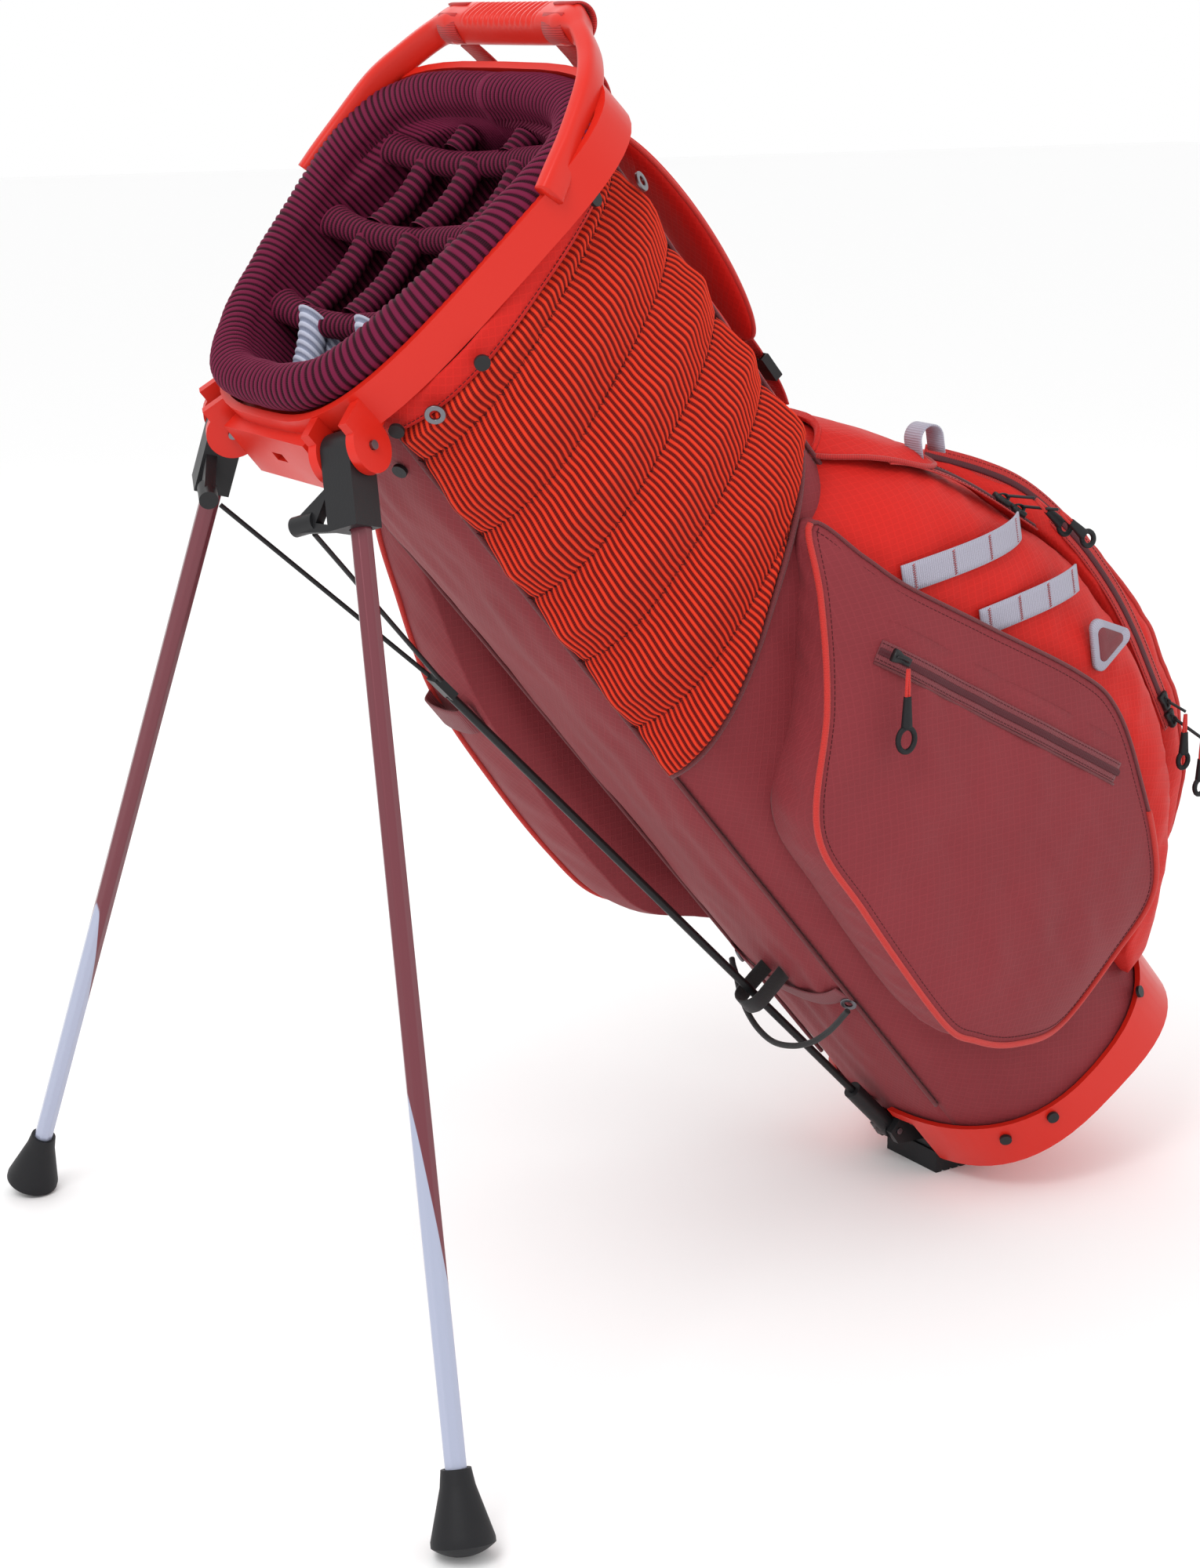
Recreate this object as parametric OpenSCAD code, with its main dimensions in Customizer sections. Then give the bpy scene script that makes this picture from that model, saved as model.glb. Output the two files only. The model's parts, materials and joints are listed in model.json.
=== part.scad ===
// Golf stand bag, standing on its two open legs and its base pad.
// Bag parts are drawn upright in the bag's own frame and leaned by place():
// X runs from the leg side to the pocket side, Y across, Z up the bag's axis.
// The origin is the middle of the base pad's sole, on the ground.

/* [Bag] */
// Lean of the bag's axis from upright, on its open legs
lean = 40; // [40:1:40]
// Half the body's depth at the cup, from leg side to spine
body_a = 110; // [108:1:111]
// Half the body's width
body_b = 118; // [116:1:119]
// Middle of the body at the cup, behind the base pad
body_x = 103; // [102:1:104]
// Growth of the body's depth from the cup to half height
body_taper = 24; // [20:1:25]
// Roundness of the body's outline, 2 is an ellipse
body_p = 2.8; // [2.6:0.1:3.0]
// Thickness of a body panel with its lining
panel_t = 3; // [2:0.5:3]

/* [Mouth] */
// Height of the mouth's padded rim along the bag
mouth_z = 858; // [857:1:860]
// Middle of the mouth
mouth_x = 100; // [99:1:101]
// Rise of the mouth towards the handle
mouth_slant = 5.6; // [5:0.1:6]
// Half the rim's depth over the padding
rim_a = 133; // [132:1:134]
// Half the rim's width over the padding
rim_b = 130; // [129:1:131]
// Thickness of the padded roll
rim_d = 30; // [28:1:30]
// Thickness of a divider's cloth
divider_t = 2; // [1.5:0.5:2]
// Width of the roll on top of a divider
bead_d = 13; // [11:1:13]

/* [Stand] */
// Leg pivot in front of the body, from the base pad
pivot_x = -30; // [-31:1:-30]
// Leg pivot from the middle plane
pivot_y = 83; // [82:1:84]
// Leg pivot's height along the bag
pivot_z = 815; // [814:1:816]
// Swing from folded to open
leg_open = 50.5; // [50:0.5:51]
// Turn of each leg's swing plane away from straight ahead
leg_splay = 28.4; // [28:0.2:29]
// Leg tube across its flats
leg_tube_w = 12.7; // [12:0.1:12.7]
// Push rod's diameter
rod_d = 6; // [5:0.5:6]
// Stand wire's diameter
wire_d = 3.2; // [3:0.2:3.4]

/* [Pockets] */
// Half the ball pocket's width
ball_pocket_y = 150; // [146:1:152]
// Width of the grey lash webbing
lash_w = 20; // [18:1:20]

/* [Hidden] */
$fn = 40;
near = -1;
far = 1;
slope = tan(mouth_slant);

// colours
moulded_red = "#F0452F";
cloth_red = "#D8322E";
cloth_maroon = "#8A3A40";
plum = "#6B2340";
grey = "#B9B6C4";
black = "#2A2A2C";
steel = "#B8B8BC";
leg_paint = "#6B2A35";

// body levels: the mouth's seam and the floor inside the cup
seam_z = 818;
seam_rise = 0.17;
base_z = 26;
base_tilt = 6.3;
floor_t = 4;

// stand, in the bag's frame
hinge_x = 14;
hinge_z = 30;
pin_x = -16;
pin_z = 58;
junction_x = -60;
junction_z = 616;
lever_in = 36;
lever_down = 38;
lever_fore = 8.5;
lever_len = 18;
foot_ball_r = 30;
pivot_ground = pivot_z * cos(lean) + pivot_x * sin(lean);
leg_fall = cos(leg_open) * cos(lean) + sin(leg_open) * cos(leg_splay) * sin(lean);
leg_reach = (pivot_ground - foot_ball_r) / leg_fall;

// pocket shapes as [height, size] points along the bag
near_front = [[100, 118], [130, 74], [180, 32], [230, 16], [330, 20], [400, 34], [480, 92],
    [540, 144], [566, 174]];
near_back = [[100, 206], [130, 226], [180, 246], [230, 262], [300, 264], [400, 232], [480, 203],
    [540, 188], [566, 185]];
near_out = [[100, 128], [130, 148], [180, 160], [230, 165], [330, 166], [400, 164], [480, 158],
    [540, 139], [566, 126]];
far_front = [[100, 130], [140, 92], [180, 66], [240, 12], [270, -12], [300, -26], [350, -32],
    [430, -28], [520, -22], [600, 0], [665, 30], [740, 60]];
far_out = [[100, 128], [140, 146], [180, 158], [240, 166], [270, 169], [300, 172], [350, 174],
    [430, 176], [520, 172], [600, 160], [665, 147], [740, 128]];
ball_side = [[70, 112], [95, 126], [140, 140], [200, 147], [280, 150], [430, 150], [500, 143],
    [548, 120], [570, 88]];
ball_back = [[70, 226], [95, 250], [140, 285], [200, 318], [280, 334], [350, 335], [430, 314],
    [500, 286], [548, 258], [570, 243]];
rear_side = [[66, 62], [93, 86], [138, 100], [205, 106], [288, 108], [373, 104], [440, 92],
    [486, 58]];
rear_back = [[66, 244], [93, 290], [138, 334], [205, 356], [288, 366], [373, 356], [440, 335],
    [486, 304]];

// heights at which the pockets' sections are drawn, so that neighbours meet
pocket_levels = [66, 70, 93, 95, 100, 130, 140, 180, 200, 230, 240, 270, 280, 300, 330, 350, 373, 400,
    430, 440, 480, 486, 500, 520, 540, 548, 566, 570, 600, 665, 740];
function levels_in(shape) =
    [for (z = pocket_levels) if (z >= shape[0][0] && z <= shape[len(shape) - 1][0]) z];

// ---------- helpers ----------

module place() {
    rotate([0, -lean, 0])
        children();
}

module at_mouth() {
    translate([mouth_x, 0, mouth_z])
        rotate([0, -mouth_slant, 0])
            children();
}

// power of a signed number
function spow(v, e) = sign(v) * pow(abs(v), e);

// share of the body's taper reached at height z
function body_taper_at(z) = body_taper / 2 * min(1, max(0, (z - 75) / 400));
function body_grow(z) = 6 * min(1, max(0, (z - 600) / 200));
function body_mid(z) = body_x + body_taper_at(z);
function body_deep(z) = body_a + body_taper_at(z);

// point of the body's outline at angle t, grown outwards by g, at height z
function body_pt(t, g, z) = [
    body_mid(z) + (body_deep(z) + g) * spow(cos(t), 2 / body_p),
    (body_b + body_grow(z) + g) * spow(sin(t), 2 / body_p), z];

// half the body's width at x, grown by g
function body_half(x, g, z) =
    (body_b + body_grow(z) + g)
    * pow(max(0, 1 - pow(abs(x - body_mid(z)) / (body_deep(z) + g), body_p)), 1 / body_p);

// point of the mouth's outline, narrower at the leg side, grown by g
function rim_pt(t, g) = [
    (rim_a + g) * spow(cos(t), 0.55),
    (rim_b + g) * spow(sin(t), 0.55) * (1 + 0.3 * spow(cos(t), 0.55))];

// height of the collar's lower edge at x
function seam_at(x) = seam_z + seam_rise * x;

// height of the mouth's plane, moved by dz, over x
function mouth_at(x, dz) = mouth_z + dz + (x - mouth_x) * slope;

// height of the cup's floor at x, raised by dz
function floor_at(x, dz) = base_z - tan(base_tilt) * x + dz;

// closed skin over a stack of loops; each loop is an outer row then the inner row back
module loft(loops) {
    n = len(loops[0]);
    m = len(loops);
    sides = [for (k = [0:m - 2], i = [0:n - 1])
        [k * n + i, (k + 1) * n + i, (k + 1) * n + (i + 1) % n, k * n + (i + 1) % n]];
    low = [for (j = [0:n / 2 - 2]) [j, j + 1, n - 2 - j, n - 1 - j]];
    high = [for (q = low) [for (i = [3:-1:0]) q[i] + (m - 1) * n]];
    polyhedron(points = [for (l = loops) each l], faces = concat(sides, low, high), convexity = 6);
}

// wall of the body between angles t0 and t1, g0 to g1 outside the outline,
// from z0 to z1 where each is [height over x = 0, rise per mm of x]
module wall(t0, t1, g0, g1, z0, z1, nt = 12, nz = 8) {
    loft([for (k = [0:nz])
        let (row = function (g, i)
            let (t = t0 + (t1 - t0) * i / nt,
                x0 = body_pt(t, g, z0[0])[0],
                x1 = body_pt(t, g, z1[0])[0],
                za = z0[0] + z0[1] * x0,
                zb = z1[0] + z1[1] * x1,
                zm = za < 70 ? 76 : za + (zb - za) / nz,
                z = k == 0 ? za : zm + (zb - zm) * (k - 1) / (nz - 1))
            body_pt(t, g, z))
        concat([for (i = [0:nt]) row(g1, i)], [for (i = [nt:-1:0]) row(g0, i)])]);
}

// side pocket: between x0 and x1 at each height, out to y1; side is near or far
module side_pocket(front, back, out, side, n = 9) {
    levels = levels_in(out);
    loft([for (z = levels)
        let (x0 = lookup(z, front), x1 = lookup(z, back), y1 = lookup(z, out),
            xs = [for (i = [0:n]) x0 + (x1 - x0) * i / n],
            round_in = function (i) let (s = 2 * i / n - 1) 0.16 * pow(abs(s), 4),
            inner = [for (x = xs) [x, side * max(body_half(x, 6, z), y1 - 62), z]],
            outer = [for (i = [0:n])
                [xs[i], side * max(abs(inner[i][1]) + 2, y1 * (1 - round_in(i))), z]])
        side == near
            ? concat(outer, [for (i = [n:-1:0]) inner[i]])
            : concat([for (i = [n:-1:0]) outer[i]], inner)]);
}

// x of the ball pocket's outer face at height z and side y
function ball_face(z, y) =
    let (xs = lookup(z, near_back) + 2, xo = lookup(z, ball_back), yb = lookup(z, ball_side))
    xs + (xo - xs) * pow(max(0, 1 - pow(abs(y) / yb, 3.5)), 1 / 3.5);

// tube of radius r swept along points, with n sides
module tube(pts, r, n = 8) {
    m = len(pts);
    dir = [for (i = [0:m - 1])
        let (d = pts[min(m - 1, i + 1)] - pts[max(0, i - 1)]) d / norm(d)];
    rings = [for (i = [0:m - 1])
        let (u = cross(dir[i], [0.31, 0.21, 0.93]), e = u / norm(u), f = cross(dir[i], e))
        [for (k = [0:n - 1]) pts[i] + r * (cos(360 * k / n) * e + sin(360 * k / n) * f)]];
    sides = [for (i = [0:m - 2], k = [0:n - 1])
        [i * n + k, (i + 1) * n + k, (i + 1) * n + (k + 1) % n, i * n + (k + 1) % n]];
    low = [[for (k = [0:n - 1]) k]];
    high = [[for (k = [n - 1:-1:0]) (m - 1) * n + k]];
    polyhedron(points = [for (q = rings) each q], faces = concat(sides, low, high), convexity = 6);
}

// flat outline of the body grown by g
module body_outline(g) {
    polygon([for (i = [0:63]) let (q = body_pt(i * 360 / 64, g, 0)) [q[0], q[1]]]);
}

// straight cylinder from a to b
module rod(a, b, r) {
    v = b - a;
    translate(a)
        rotate([0, acos(v[2] / norm(v)), atan2(v[1], v[0])])
            cylinder(r = r, h = norm(v));
}

// cylinder along Y through (x, z), from y0 to y1
module cross_pin(x, z, r, y0, y1) {
    translate([x, y1, z])
        rotate([90, 0, 0])
            cylinder(r = r, h = y1 - y0);
}

// frame of a leg: pivot along Y, leg along -Z, side is near or far
module at_leg(side) {
    mirror([0, side == near ? 1 : 0, 0])
        translate([pivot_x, pivot_y, pivot_z])
            rotate([0, 0, -leg_splay])
                children();
}

module leg_swing() {
    rotate([0, leg_open, 0])
        children();
}

// ---------- base ----------

// everything under the cup's floor, raised by dz
module below_floor(dz) {
    translate([0, 0, base_z + dz])
        rotate([0, base_tilt, 0])
            translate([-300, -300, -200]) cube([800, 600, 200]);
}

module base_cup() {
    rim_r = 263;
    rim_low = 46;
    lug_y = 37;
    color(moulded_red) place()
        difference() {
            union() {
                difference() {
                    linear_extrude(120) body_outline(5);
                    below_floor(0);
                    difference() {
                        translate([0, 0, -50]) linear_extrude(200) body_outline(0.8);
                        below_floor(floor_t);
                    }
                    cross_pin(118, rim_low + rim_r, rim_r, -200, 200);
                }
                for (s = [-1, 1])
                    translate([2, s * lug_y - 5 + s * 3, base_z - 1])
                        cube([26, 10, 20]);
            }
            translate([-20, -34, -10])
                cube([50, 68, 58]);
            translate([-20, -34, 0])
                cube([16, 68, 71]);
            translate([-20, -11, 0])
                cube([16, 22, 110]);
            cross_pin(hinge_x, hinge_z, 3.05, -50, 50);
        }
}

module base_floor() {
    color(black) place()
        translate([0, 0, base_z])
            rotate([0, base_tilt, 0])
                translate([0, 0, floor_t + 0.2])
                    linear_extrude(2)
                        difference() {
                            body_outline(-0.4);
                            translate([-20, -50]) square([56, 100]);
                        }
}

module foot_hinge_pin() {
    color(steel) place() cross_pin(hinge_x, hinge_z, 3, -44, 44);
}

// unit vector outwards from the body at q
function outward(q) = (q - [body_mid(q[2]), 0, q[2]]) / norm(q - [body_mid(q[2]), 0, q[2]]);

// domed rivet on the body at angle t and height z
module rivet_at(t, g, z, r = 5) {
    q = body_pt(t, g, z);
    d = outward(q);
    rod(q, q + 2.5 * d, r);
}

module rivets() {
    color(black) place() {
        for (t = [229, 251, 297, 63, 109, 131])
            rivet_at(t, 5.4, t == 251 || t == 109 ? 46 : 52, 4.5);
        for (t = [214, 250, 288])
            rivet_at(t, 11.6, seam_at(body_pt(t, 11, 800)[0]) - 11);
        rivet_at(197, 0.8, 768);
        rivet_at(163, 0.8, 768);
    }
}

// ---------- body ----------

module front_panel() {
    color(cloth_maroon) place()
        wall(152, 208, -panel_t, 0, [73, 0], [seam_z - 0.6, seam_rise]);
}

module near_panel() {
    color(cloth_maroon) place()
        wall(208.6, 318, -panel_t, 0, [base_z + 8, -tan(base_tilt)],
            [seam_z - 0.6, seam_rise]);
}

module far_panel() {
    color(cloth_maroon) place()
        wall(42, 151.4, -panel_t, 0, [base_z + 8, -tan(base_tilt)],
            [seam_z - 0.6, seam_rise]);
}

module spine_panel() {
    color(cloth_red) place()
        wall(-41.4, 41.4, -panel_t, 0, [base_z + 8, -tan(base_tilt)],
            [seam_z - 0.6, seam_rise]);
}

// spring stays that hold the mouth off the base
module stays() {
    color(black) place()
        for (p = [[38, 94], [38, -94], [190, 80], [190, -80]])
            rod([p[0], p[1], floor_at(p[0], 8)], [p[0], p[1], seam_at(p[0]) - 2], 2.5);
}

// ribbed pad on the hip side, seven channels deep
module hip_pad() {
    color(moulded_red) place()
        wall(209.5, 314, 2, 11, [474, 0.56], [seam_z - 3.5, seam_rise], 14, 8);
}

// ---------- mouth ----------

module rim_outline(g) {
    polygon([for (i = [0:59]) rim_pt(i * 6, g)]);
}

// everything above the lip's upper edge, which climbs towards the handle
module above_lip() {
    at_mouth()
        translate([0, 0, 4])
            rotate([0, -4, 0])
                translate([-300, -300, 0]) cube([600, 600, 200]);
}

module top_collar() {
    ear_r = 17;
    ears = [[-21, 6.4], [9.6, 6.4]];
    color(moulded_red) place()
        difference() {
            union() {
                // flange over the tops of the body panels
                difference() {
                    at_mouth() translate([0, 0, -56]) linear_extrude(40.4) rim_outline(6);
                    translate([0, 0, 700]) linear_extrude(300) body_outline(-1);
                    translate([0, 0, seam_z])
                        rotate([0, -atan(seam_rise), 0])
                            translate([-400, -300, -200]) cube([900, 600, 200]);
                }
                // lip round the padded rim
                difference() {
                    at_mouth() translate([0, 0, -32]) linear_extrude(50) rim_outline(6);
                    above_lip();
                    at_mouth() translate([0, 0, -33]) linear_extrude(60) rim_outline(0.8);
                    translate([0, 0, seam_z])
                        rotate([0, -atan(seam_rise), 0])
                            translate([-400, -300, -200]) cube([900, 600, 200]);
                }
                // skirt across the front, between the legs
                translate([-44, -54, 788])
                    cube([6, 108, 40]);
                translate([-44, -54, 812])
                    cube([18, 108, 16]);
                for (s = [near, far])
                    at_leg(s)
                        for (e = ears) {
                            cross_pin(0, 0, ear_r, e[0], e[0] + e[1]);
                            translate([-6, e[0], 0]) cube([32, e[1], 24]);
                        }
            }
            at_mouth() translate([0, 0, -15.6]) linear_extrude(60) rim_outline(0.8);
            for (s = [near, far])
                at_leg(s) {
                    cross_pin(0, 0, 3.05, -30, 30);
                    cross_pin(0, 0, 15.5, -14.4, 9.4);
                }
            // slot in the middle of the skirt
            translate([-60, -7, 806]) cube([40, 14, 7]);
        }
}

// screws the legs swing on
module leg_screws() {
    color(steel) place()
        for (s = [near, far])
            at_leg(s) cross_pin(0, 0, 3, -23, 18);
}

// carrying handle, bridging both sides of the mouth behind the rim
grip_x = 258;
grip_z = 898;
module handle() {
    foot = [148, 150, 868];
    bend = [214, 130, 886];
    top = [252, 86, 897];
    color(moulded_red) place()
        difference() {
            union() {
                for (s = [near, far]) {
                    hull() {
                        handle_block(foot, s, [34, 8, 24]);
                        handle_block(bend, s, [16, 10, 20]);
                    }
                    hull() {
                        handle_block(bend, s, [16, 10, 20]);
                        handle_block(top, s, [18, 10, 20]);
                    }
                }
                cross_pin(grip_x, grip_z, 12, -80, 80);
            }
            difference() {
                at_mouth() translate([0, 0, -60]) linear_extrude(75.4) rim_outline(6.4);
                translate([0, 0, 0.4]) above_lip();
            }
            at_mouth() translate([0, 0, -60]) linear_extrude(75.4) rim_outline(0.5);
        }
}

module handle_block(p, side, size) {
    translate([p[0], side * p[1], p[2]])
        rotate([0, -18, 0]) cube(size, center = true);
}

// webbing wrapped round both ends of the grip
module handle_wraps() {
    color(cloth_red) place()
        for (s = [near, far])
            translate([grip_x, s * 62, grip_z])
                rotate([90, 0, 0])
                    translate([0, 0, -11])
                        difference() {
                            cylinder(r = 14.2, h = 22);
                            translate([0, 0, -1]) cylinder(r = 12.3, h = 24);
                        }
}

// webbing from the handle down to the shoulder pads and from the pads to the pocket
module strap_webbing() {
    color(cloth_red) place()
        for (s = [near, far]) {
            translate([0, s * 50 - 12, 0])
                rotate([90, 0, 0]) mirror([0, 0, 1]) linear_extrude(24)
                    polygon([[259, 882.5], [263, 882], [259, 848], [252, 830.5], [249, 832], [255, 849]]);
            translate([0, s * 36 - 10, 0])
                rotate([90, 0, 0]) mirror([0, 0, 1]) linear_extrude(20)
                    polygon([[242.8, 636], [245.6, 636], [246, 604], [242, 586], [240, 587], [243, 605]]);
        }
}

// two shoulder pads lying along the spine
module strap_pads() {
    color(cloth_red) place()
        for (s = [near, far])
            loft([for (i = [0:8])
                let (v = i / 8, z = 640 + 186 * v, x0 = 238.4 + 12 * sin(180 * v),
                    y = s * (36 + 6 * v), hw = 26 * sqrt(max(0.16, 1 - pow(abs(2 * v - 1), 6))),
                    t = 12 * sqrt(max(0.16, 1 - pow(abs(2 * v - 1), 6))),
                    row = function (x, i) [x + (i % 3 == 0 ? 0 : 2), y + hw * (i - 1.5) / 1.5, z])
                concat([for (j = [0:3]) row(x0 + t, j)], [for (j = [3:-1:0]) row(x0, j)])]);
}

module strap_buckles() {
    color(black) place()
        for (s = [near, far])
            translate([244.6, s * 36, 618])
                difference() {
                    cube([7, 30, 20], center = true);
                    cube([4.6, 22, 40], center = true);
                }
}

// padded roll round the mouth
module rim_pad() {
    r = rim_d / 2;
    n = 40;
    m = 10;
    ring = [for (i = [0:n - 1])
        let (t = i * 360 / n, c = rim_pt(t, -r), o = rim_pt(t, 0), u = (o - c) / norm(o - c))
        [for (k = [0:m - 1])
            let (a = 360 * k / m) [c[0] + r * cos(a) * u[0], c[1] + r * cos(a) * u[1], r * sin(a)]]];
    faces = [for (i = [0:n - 1], k = [0:m - 1])
        [i * m + k, i * m + (k + 1) % m, ((i + 1) % n) * m + (k + 1) % m, ((i + 1) % n) * m + k]];
    color(plum) place() at_mouth()
        polyhedron(points = [for (q = ring) each q], faces = faces, convexity = 8);
}

// ---------- dividers ----------

cross_x = [47, 118, 182];
cross_half = [99, 104, 92];
roll_half = [76, 94, 92];
divider_top = -14;

// cloth wall across the bag with its roll
module cross_divider(i) {
    x = cross_x[i];
    w = cross_half[i];
    z1 = mouth_at(x, divider_top);
    z0 = floor_at(x, 9);
    color(plum) place() {
        translate([x - divider_t / 2, -w, z0]) cube([divider_t, 2 * w, z1 - 5 - z0]);
        cross_pin(x, z1 - 2, bead_d / 2, -roll_half[i], roll_half[i]);
    }
}

module divider_cross_1() { cross_divider(0); }
module divider_cross_2() { cross_divider(1); }
module divider_cross_3() { cross_divider(2); }

// cloth walls along X from x0 to x1 at the given sides
module row_dividers(x0, x1, ys, lift = 9) {
    a = x0 + bead_d / 2 + 0.5;
    b = x1 - bead_d / 2 - 0.5;
    for (y = ys) {
        translate([0, y + divider_t / 2, 0]) rotate([90, 0, 0]) linear_extrude(divider_t)
            polygon([[a, floor_at(a, lift)], [b, floor_at(b, lift)],
                [b, mouth_at(b, divider_top)], [a, mouth_at(a, divider_top)]]);
        rod([a, y, mouth_at(a, divider_top - 2)], [b, y, mouth_at(b, divider_top - 2)], bead_d / 2 - 1);
    }
}

module dividers_row_1() { color(grey) place() row_dividers(0, cross_x[0], [-36, 36], 45); }
module dividers_row_2() { color(plum) place() row_dividers(cross_x[0], cross_x[1], [-56, 0, 56]); }
module dividers_row_3() { color(plum) place() row_dividers(cross_x[1], cross_x[2], [-56, 0, 56]); }
module dividers_row_4() { color(plum) place() row_dividers(cross_x[2], 205, [-34, 34]); }

// ---------- pockets ----------

module near_pocket() {
    color(cloth_maroon) place() side_pocket(near_front, near_back, near_out, near);
}

module far_pocket() {
    color(cloth_maroon) place() side_pocket(far_front, near_back, far_out, far);
}

module ball_pocket() {
    levels = levels_in(ball_back);
    n = 14;
    color(cloth_red) place()
        loft([for (z = levels)
            let (xs = lookup(z, near_back) + 2, yb = lookup(z, ball_side),
                ys = [for (i = [0:n]) let (s = 2 * i / n - 1) yb * sin(90 * s)],
                inner = [for (y = ys)
                    let (t = body_mid(z) + (body_deep(z) + 5)
                        * pow(max(0, 1 - pow(abs(y) / (body_b + 8), body_p)), 1 / body_p))
                    [max(xs, t), y, z]],
                outer = [for (i = [0:n]) [max(inner[i][0] + 1, ball_face(z, ys[i])), ys[i], z]])
            concat(outer, [for (i = [n:-1:0]) inner[i]])]);
}

module rear_pocket() {
    levels = levels_in(rear_back);
    n = 12;
    color(cloth_red) place()
        loft([for (z = levels)
            let (yb = lookup(z, rear_side), xo = lookup(z, rear_back),
                ys = [for (i = [0:n]) yb * sin(90 * (2 * i / n - 1))],
                inner = [for (y = ys) [ball_face(z, y) + 4, y, z]],
                xi = inner[0][0],
                outer = [for (i = [0:n])
                    [max(inner[i][0] + 1.5,
                        xi + (xo - xi) * pow(max(0, 1 - pow(abs(ys[i]) / yb, 3.5)), 1 / 3.5)), ys[i], z]])
            concat(outer, [for (i = [n:-1:0]) inner[i]])]);
}

// lid over the top of the ball pocket
module pocket_flap() {
    color(cloth_red) place()
        translate([0, 62, 0]) rotate([90, 0, 0]) linear_extrude(150)
            polygon([[242, 575], [246, 578], [271, 556], [291, 528], [304, 500], [300, 498], [287, 525],
                [268, 552]]);
}

// grey webbing tab standing off the top of the ball pocket
module tab_loop() {
    color(grey) place()
        translate([285, -98, 520]) rotate([0, 30, 0]) rotate([90, 0, 0])
            linear_extrude(18, center = true)
                difference() {
                    union() {
                        circle(r = 9);
                        translate([-9, -12]) square([18, 12]);
                    }
                    circle(r = 7.6);
                    translate([-7.6, -20]) square([15.2, 20]);
                }
}

// grey lash webbing on the near side
module lash_strips() {
    color(grey) place() {
        lash([209, 474], [286, 440]);
        lash([240, 403], [296, 380]);
    }
}

module lash(a, b) {
    v = b - a;
    translate([a[0], -ball_pocket_y - 3, a[1]])
        rotate([0, -atan2(v[1], v[0]), 0])
            translate([0, 0, -lash_w / 2]) cube([norm(v), 1.4, lash_w]);
}

// three-sided trim plate
module badge() {
    color(grey) place()
        translate([284, -150.3, 322]) rotate([90, 0, 0]) linear_extrude(3)
            polygon([for (k = [0:2], j = [0:4])
                let (c = 12 * [cos(90 + 120 * k), sin(90 + 120 * k)], a = 120 * k + 30 + 24 * j)
                c + 5 * [cos(a + 12), sin(a + 12)]]);
}

// stitched loop on the long far pocket
module loop_strap() {
    color(cloth_maroon) place()
        difference() {
            translate([-33, 112, 496]) cube([8, 56, 28]);
            translate([-31, 119, 495]) cube([10, 42, 30]);
        }
}

// snap rings on the hip pad and eyelets for the bungee
module eyelets() {
    color(steel) place() {
        eyelet(229, 11.6, 806, 6.5);
        eyelet(311, 11.6, 812, 6.5);
        eyelet(206, 1.2, 224, 6);
        eyelet(154, 1.2, 224, 6);
    }
}

module eyelet(t, g, z, r) {
    q = body_pt(t, g, z);
    d = outward(q);
    difference() {
        rod(q, q + 2 * d, r);
        rod(q - d, q + 4 * d, r * 0.5);
    }
}

// webbing loop that keeps the push rod close
module rod_keeper() {
    w = 12;
    color(black) place()
        translate([-44, 0, 236]) {
            translate([0, -w / 2 - 5, 0]) cube([2, w + 10, 14]);
            for (s = [-1, 1])
                translate([0, s * (w / 2 + 4) - 1, 0]) cube([33, 2, 14]);
            translate([33, -w / 2 - 5, 0]) cube([2, w + 10, 14]);
        }
}

// elastic cord from eyelet to eyelet, looped under the push rod
bungee_route = [
    [-6, -71, 224], [-10, -66, 220], [-15, -60, 215], [-22, -50, 208], [-31, -37, 202],
    [-39, -20, 199], [-43, 0, 199], [-40, 20, 202], [-33, 37, 208], [-24, 50, 214],
    [-15, 60, 219], [-10, 66, 223], [-6, 71, 224]];
module bungee() {
    color(black) place() tube(bungee_route, 2.2);
}

// ---------- zips ----------

// straight zip on the near pocket, from a to b along [x, z]
zip_a = [140, 476];
zip_b = [231, 252];
zip_y = -169;
module near_zip_track() {
    color(cloth_maroon) place()
        rod([zip_a[0], zip_y, zip_a[1]], [zip_b[0], zip_y, zip_b[1]], 2);
}

// zips along the edges of the ball and rear pockets
ball_zip = [[256, 536], [276, 500], [294, 466], [308, 436], [313, 412]];
rear_zip = [[298, 484], [318, 452], [332, 418], [338, 370], [338, 318], [334, 278], [327, 238],
    [319, 190]];
module curved_zip_tracks() {
    color(cloth_maroon) place() {
        translate([0, -110, 0]) zip_band(ball_zip);
        translate([0, -109, 0]) zip_band(rear_zip);
    }
}

// flat zip tape 5 mm wide along [x, z] points
module zip_band(pts) {
    rotate([90, 0, 0]) linear_extrude(4)
        polygon(concat(pts, [for (i = [len(pts) - 1:-1:0]) pts[i] + [5, 1]]));
}

module slider_body(p, turn) {
    translate(p) rotate(turn) cube([6, 5, 12], center = true);
}

// cord pull with a moulded end, hanging from p along d, length l
module pull(p, d, l) {
    rod(p, p + d * l * 0.55, 1.4);
    rod(p + d * l * 0.5, p + d * l, 3);
}

module near_zip_slider() {
    v = zip_b - zip_a;
    color(black) place()
        translate([zip_a[0], zip_y - 5, zip_a[1]])
            rotate([0, -atan2(v[1], v[0]), 0])
                translate([8, 0, 0]) cube([14, 5, 8], center = true);
}

// unit vectors in the bag's frame
down = [-sin(lean), 0, -cos(lean)];
near_pull_top = [142, -177.5, 464];
module near_zip_pull() {
    color(black) place() pull(near_pull_top + 4 * down, down, 58);
}

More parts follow.
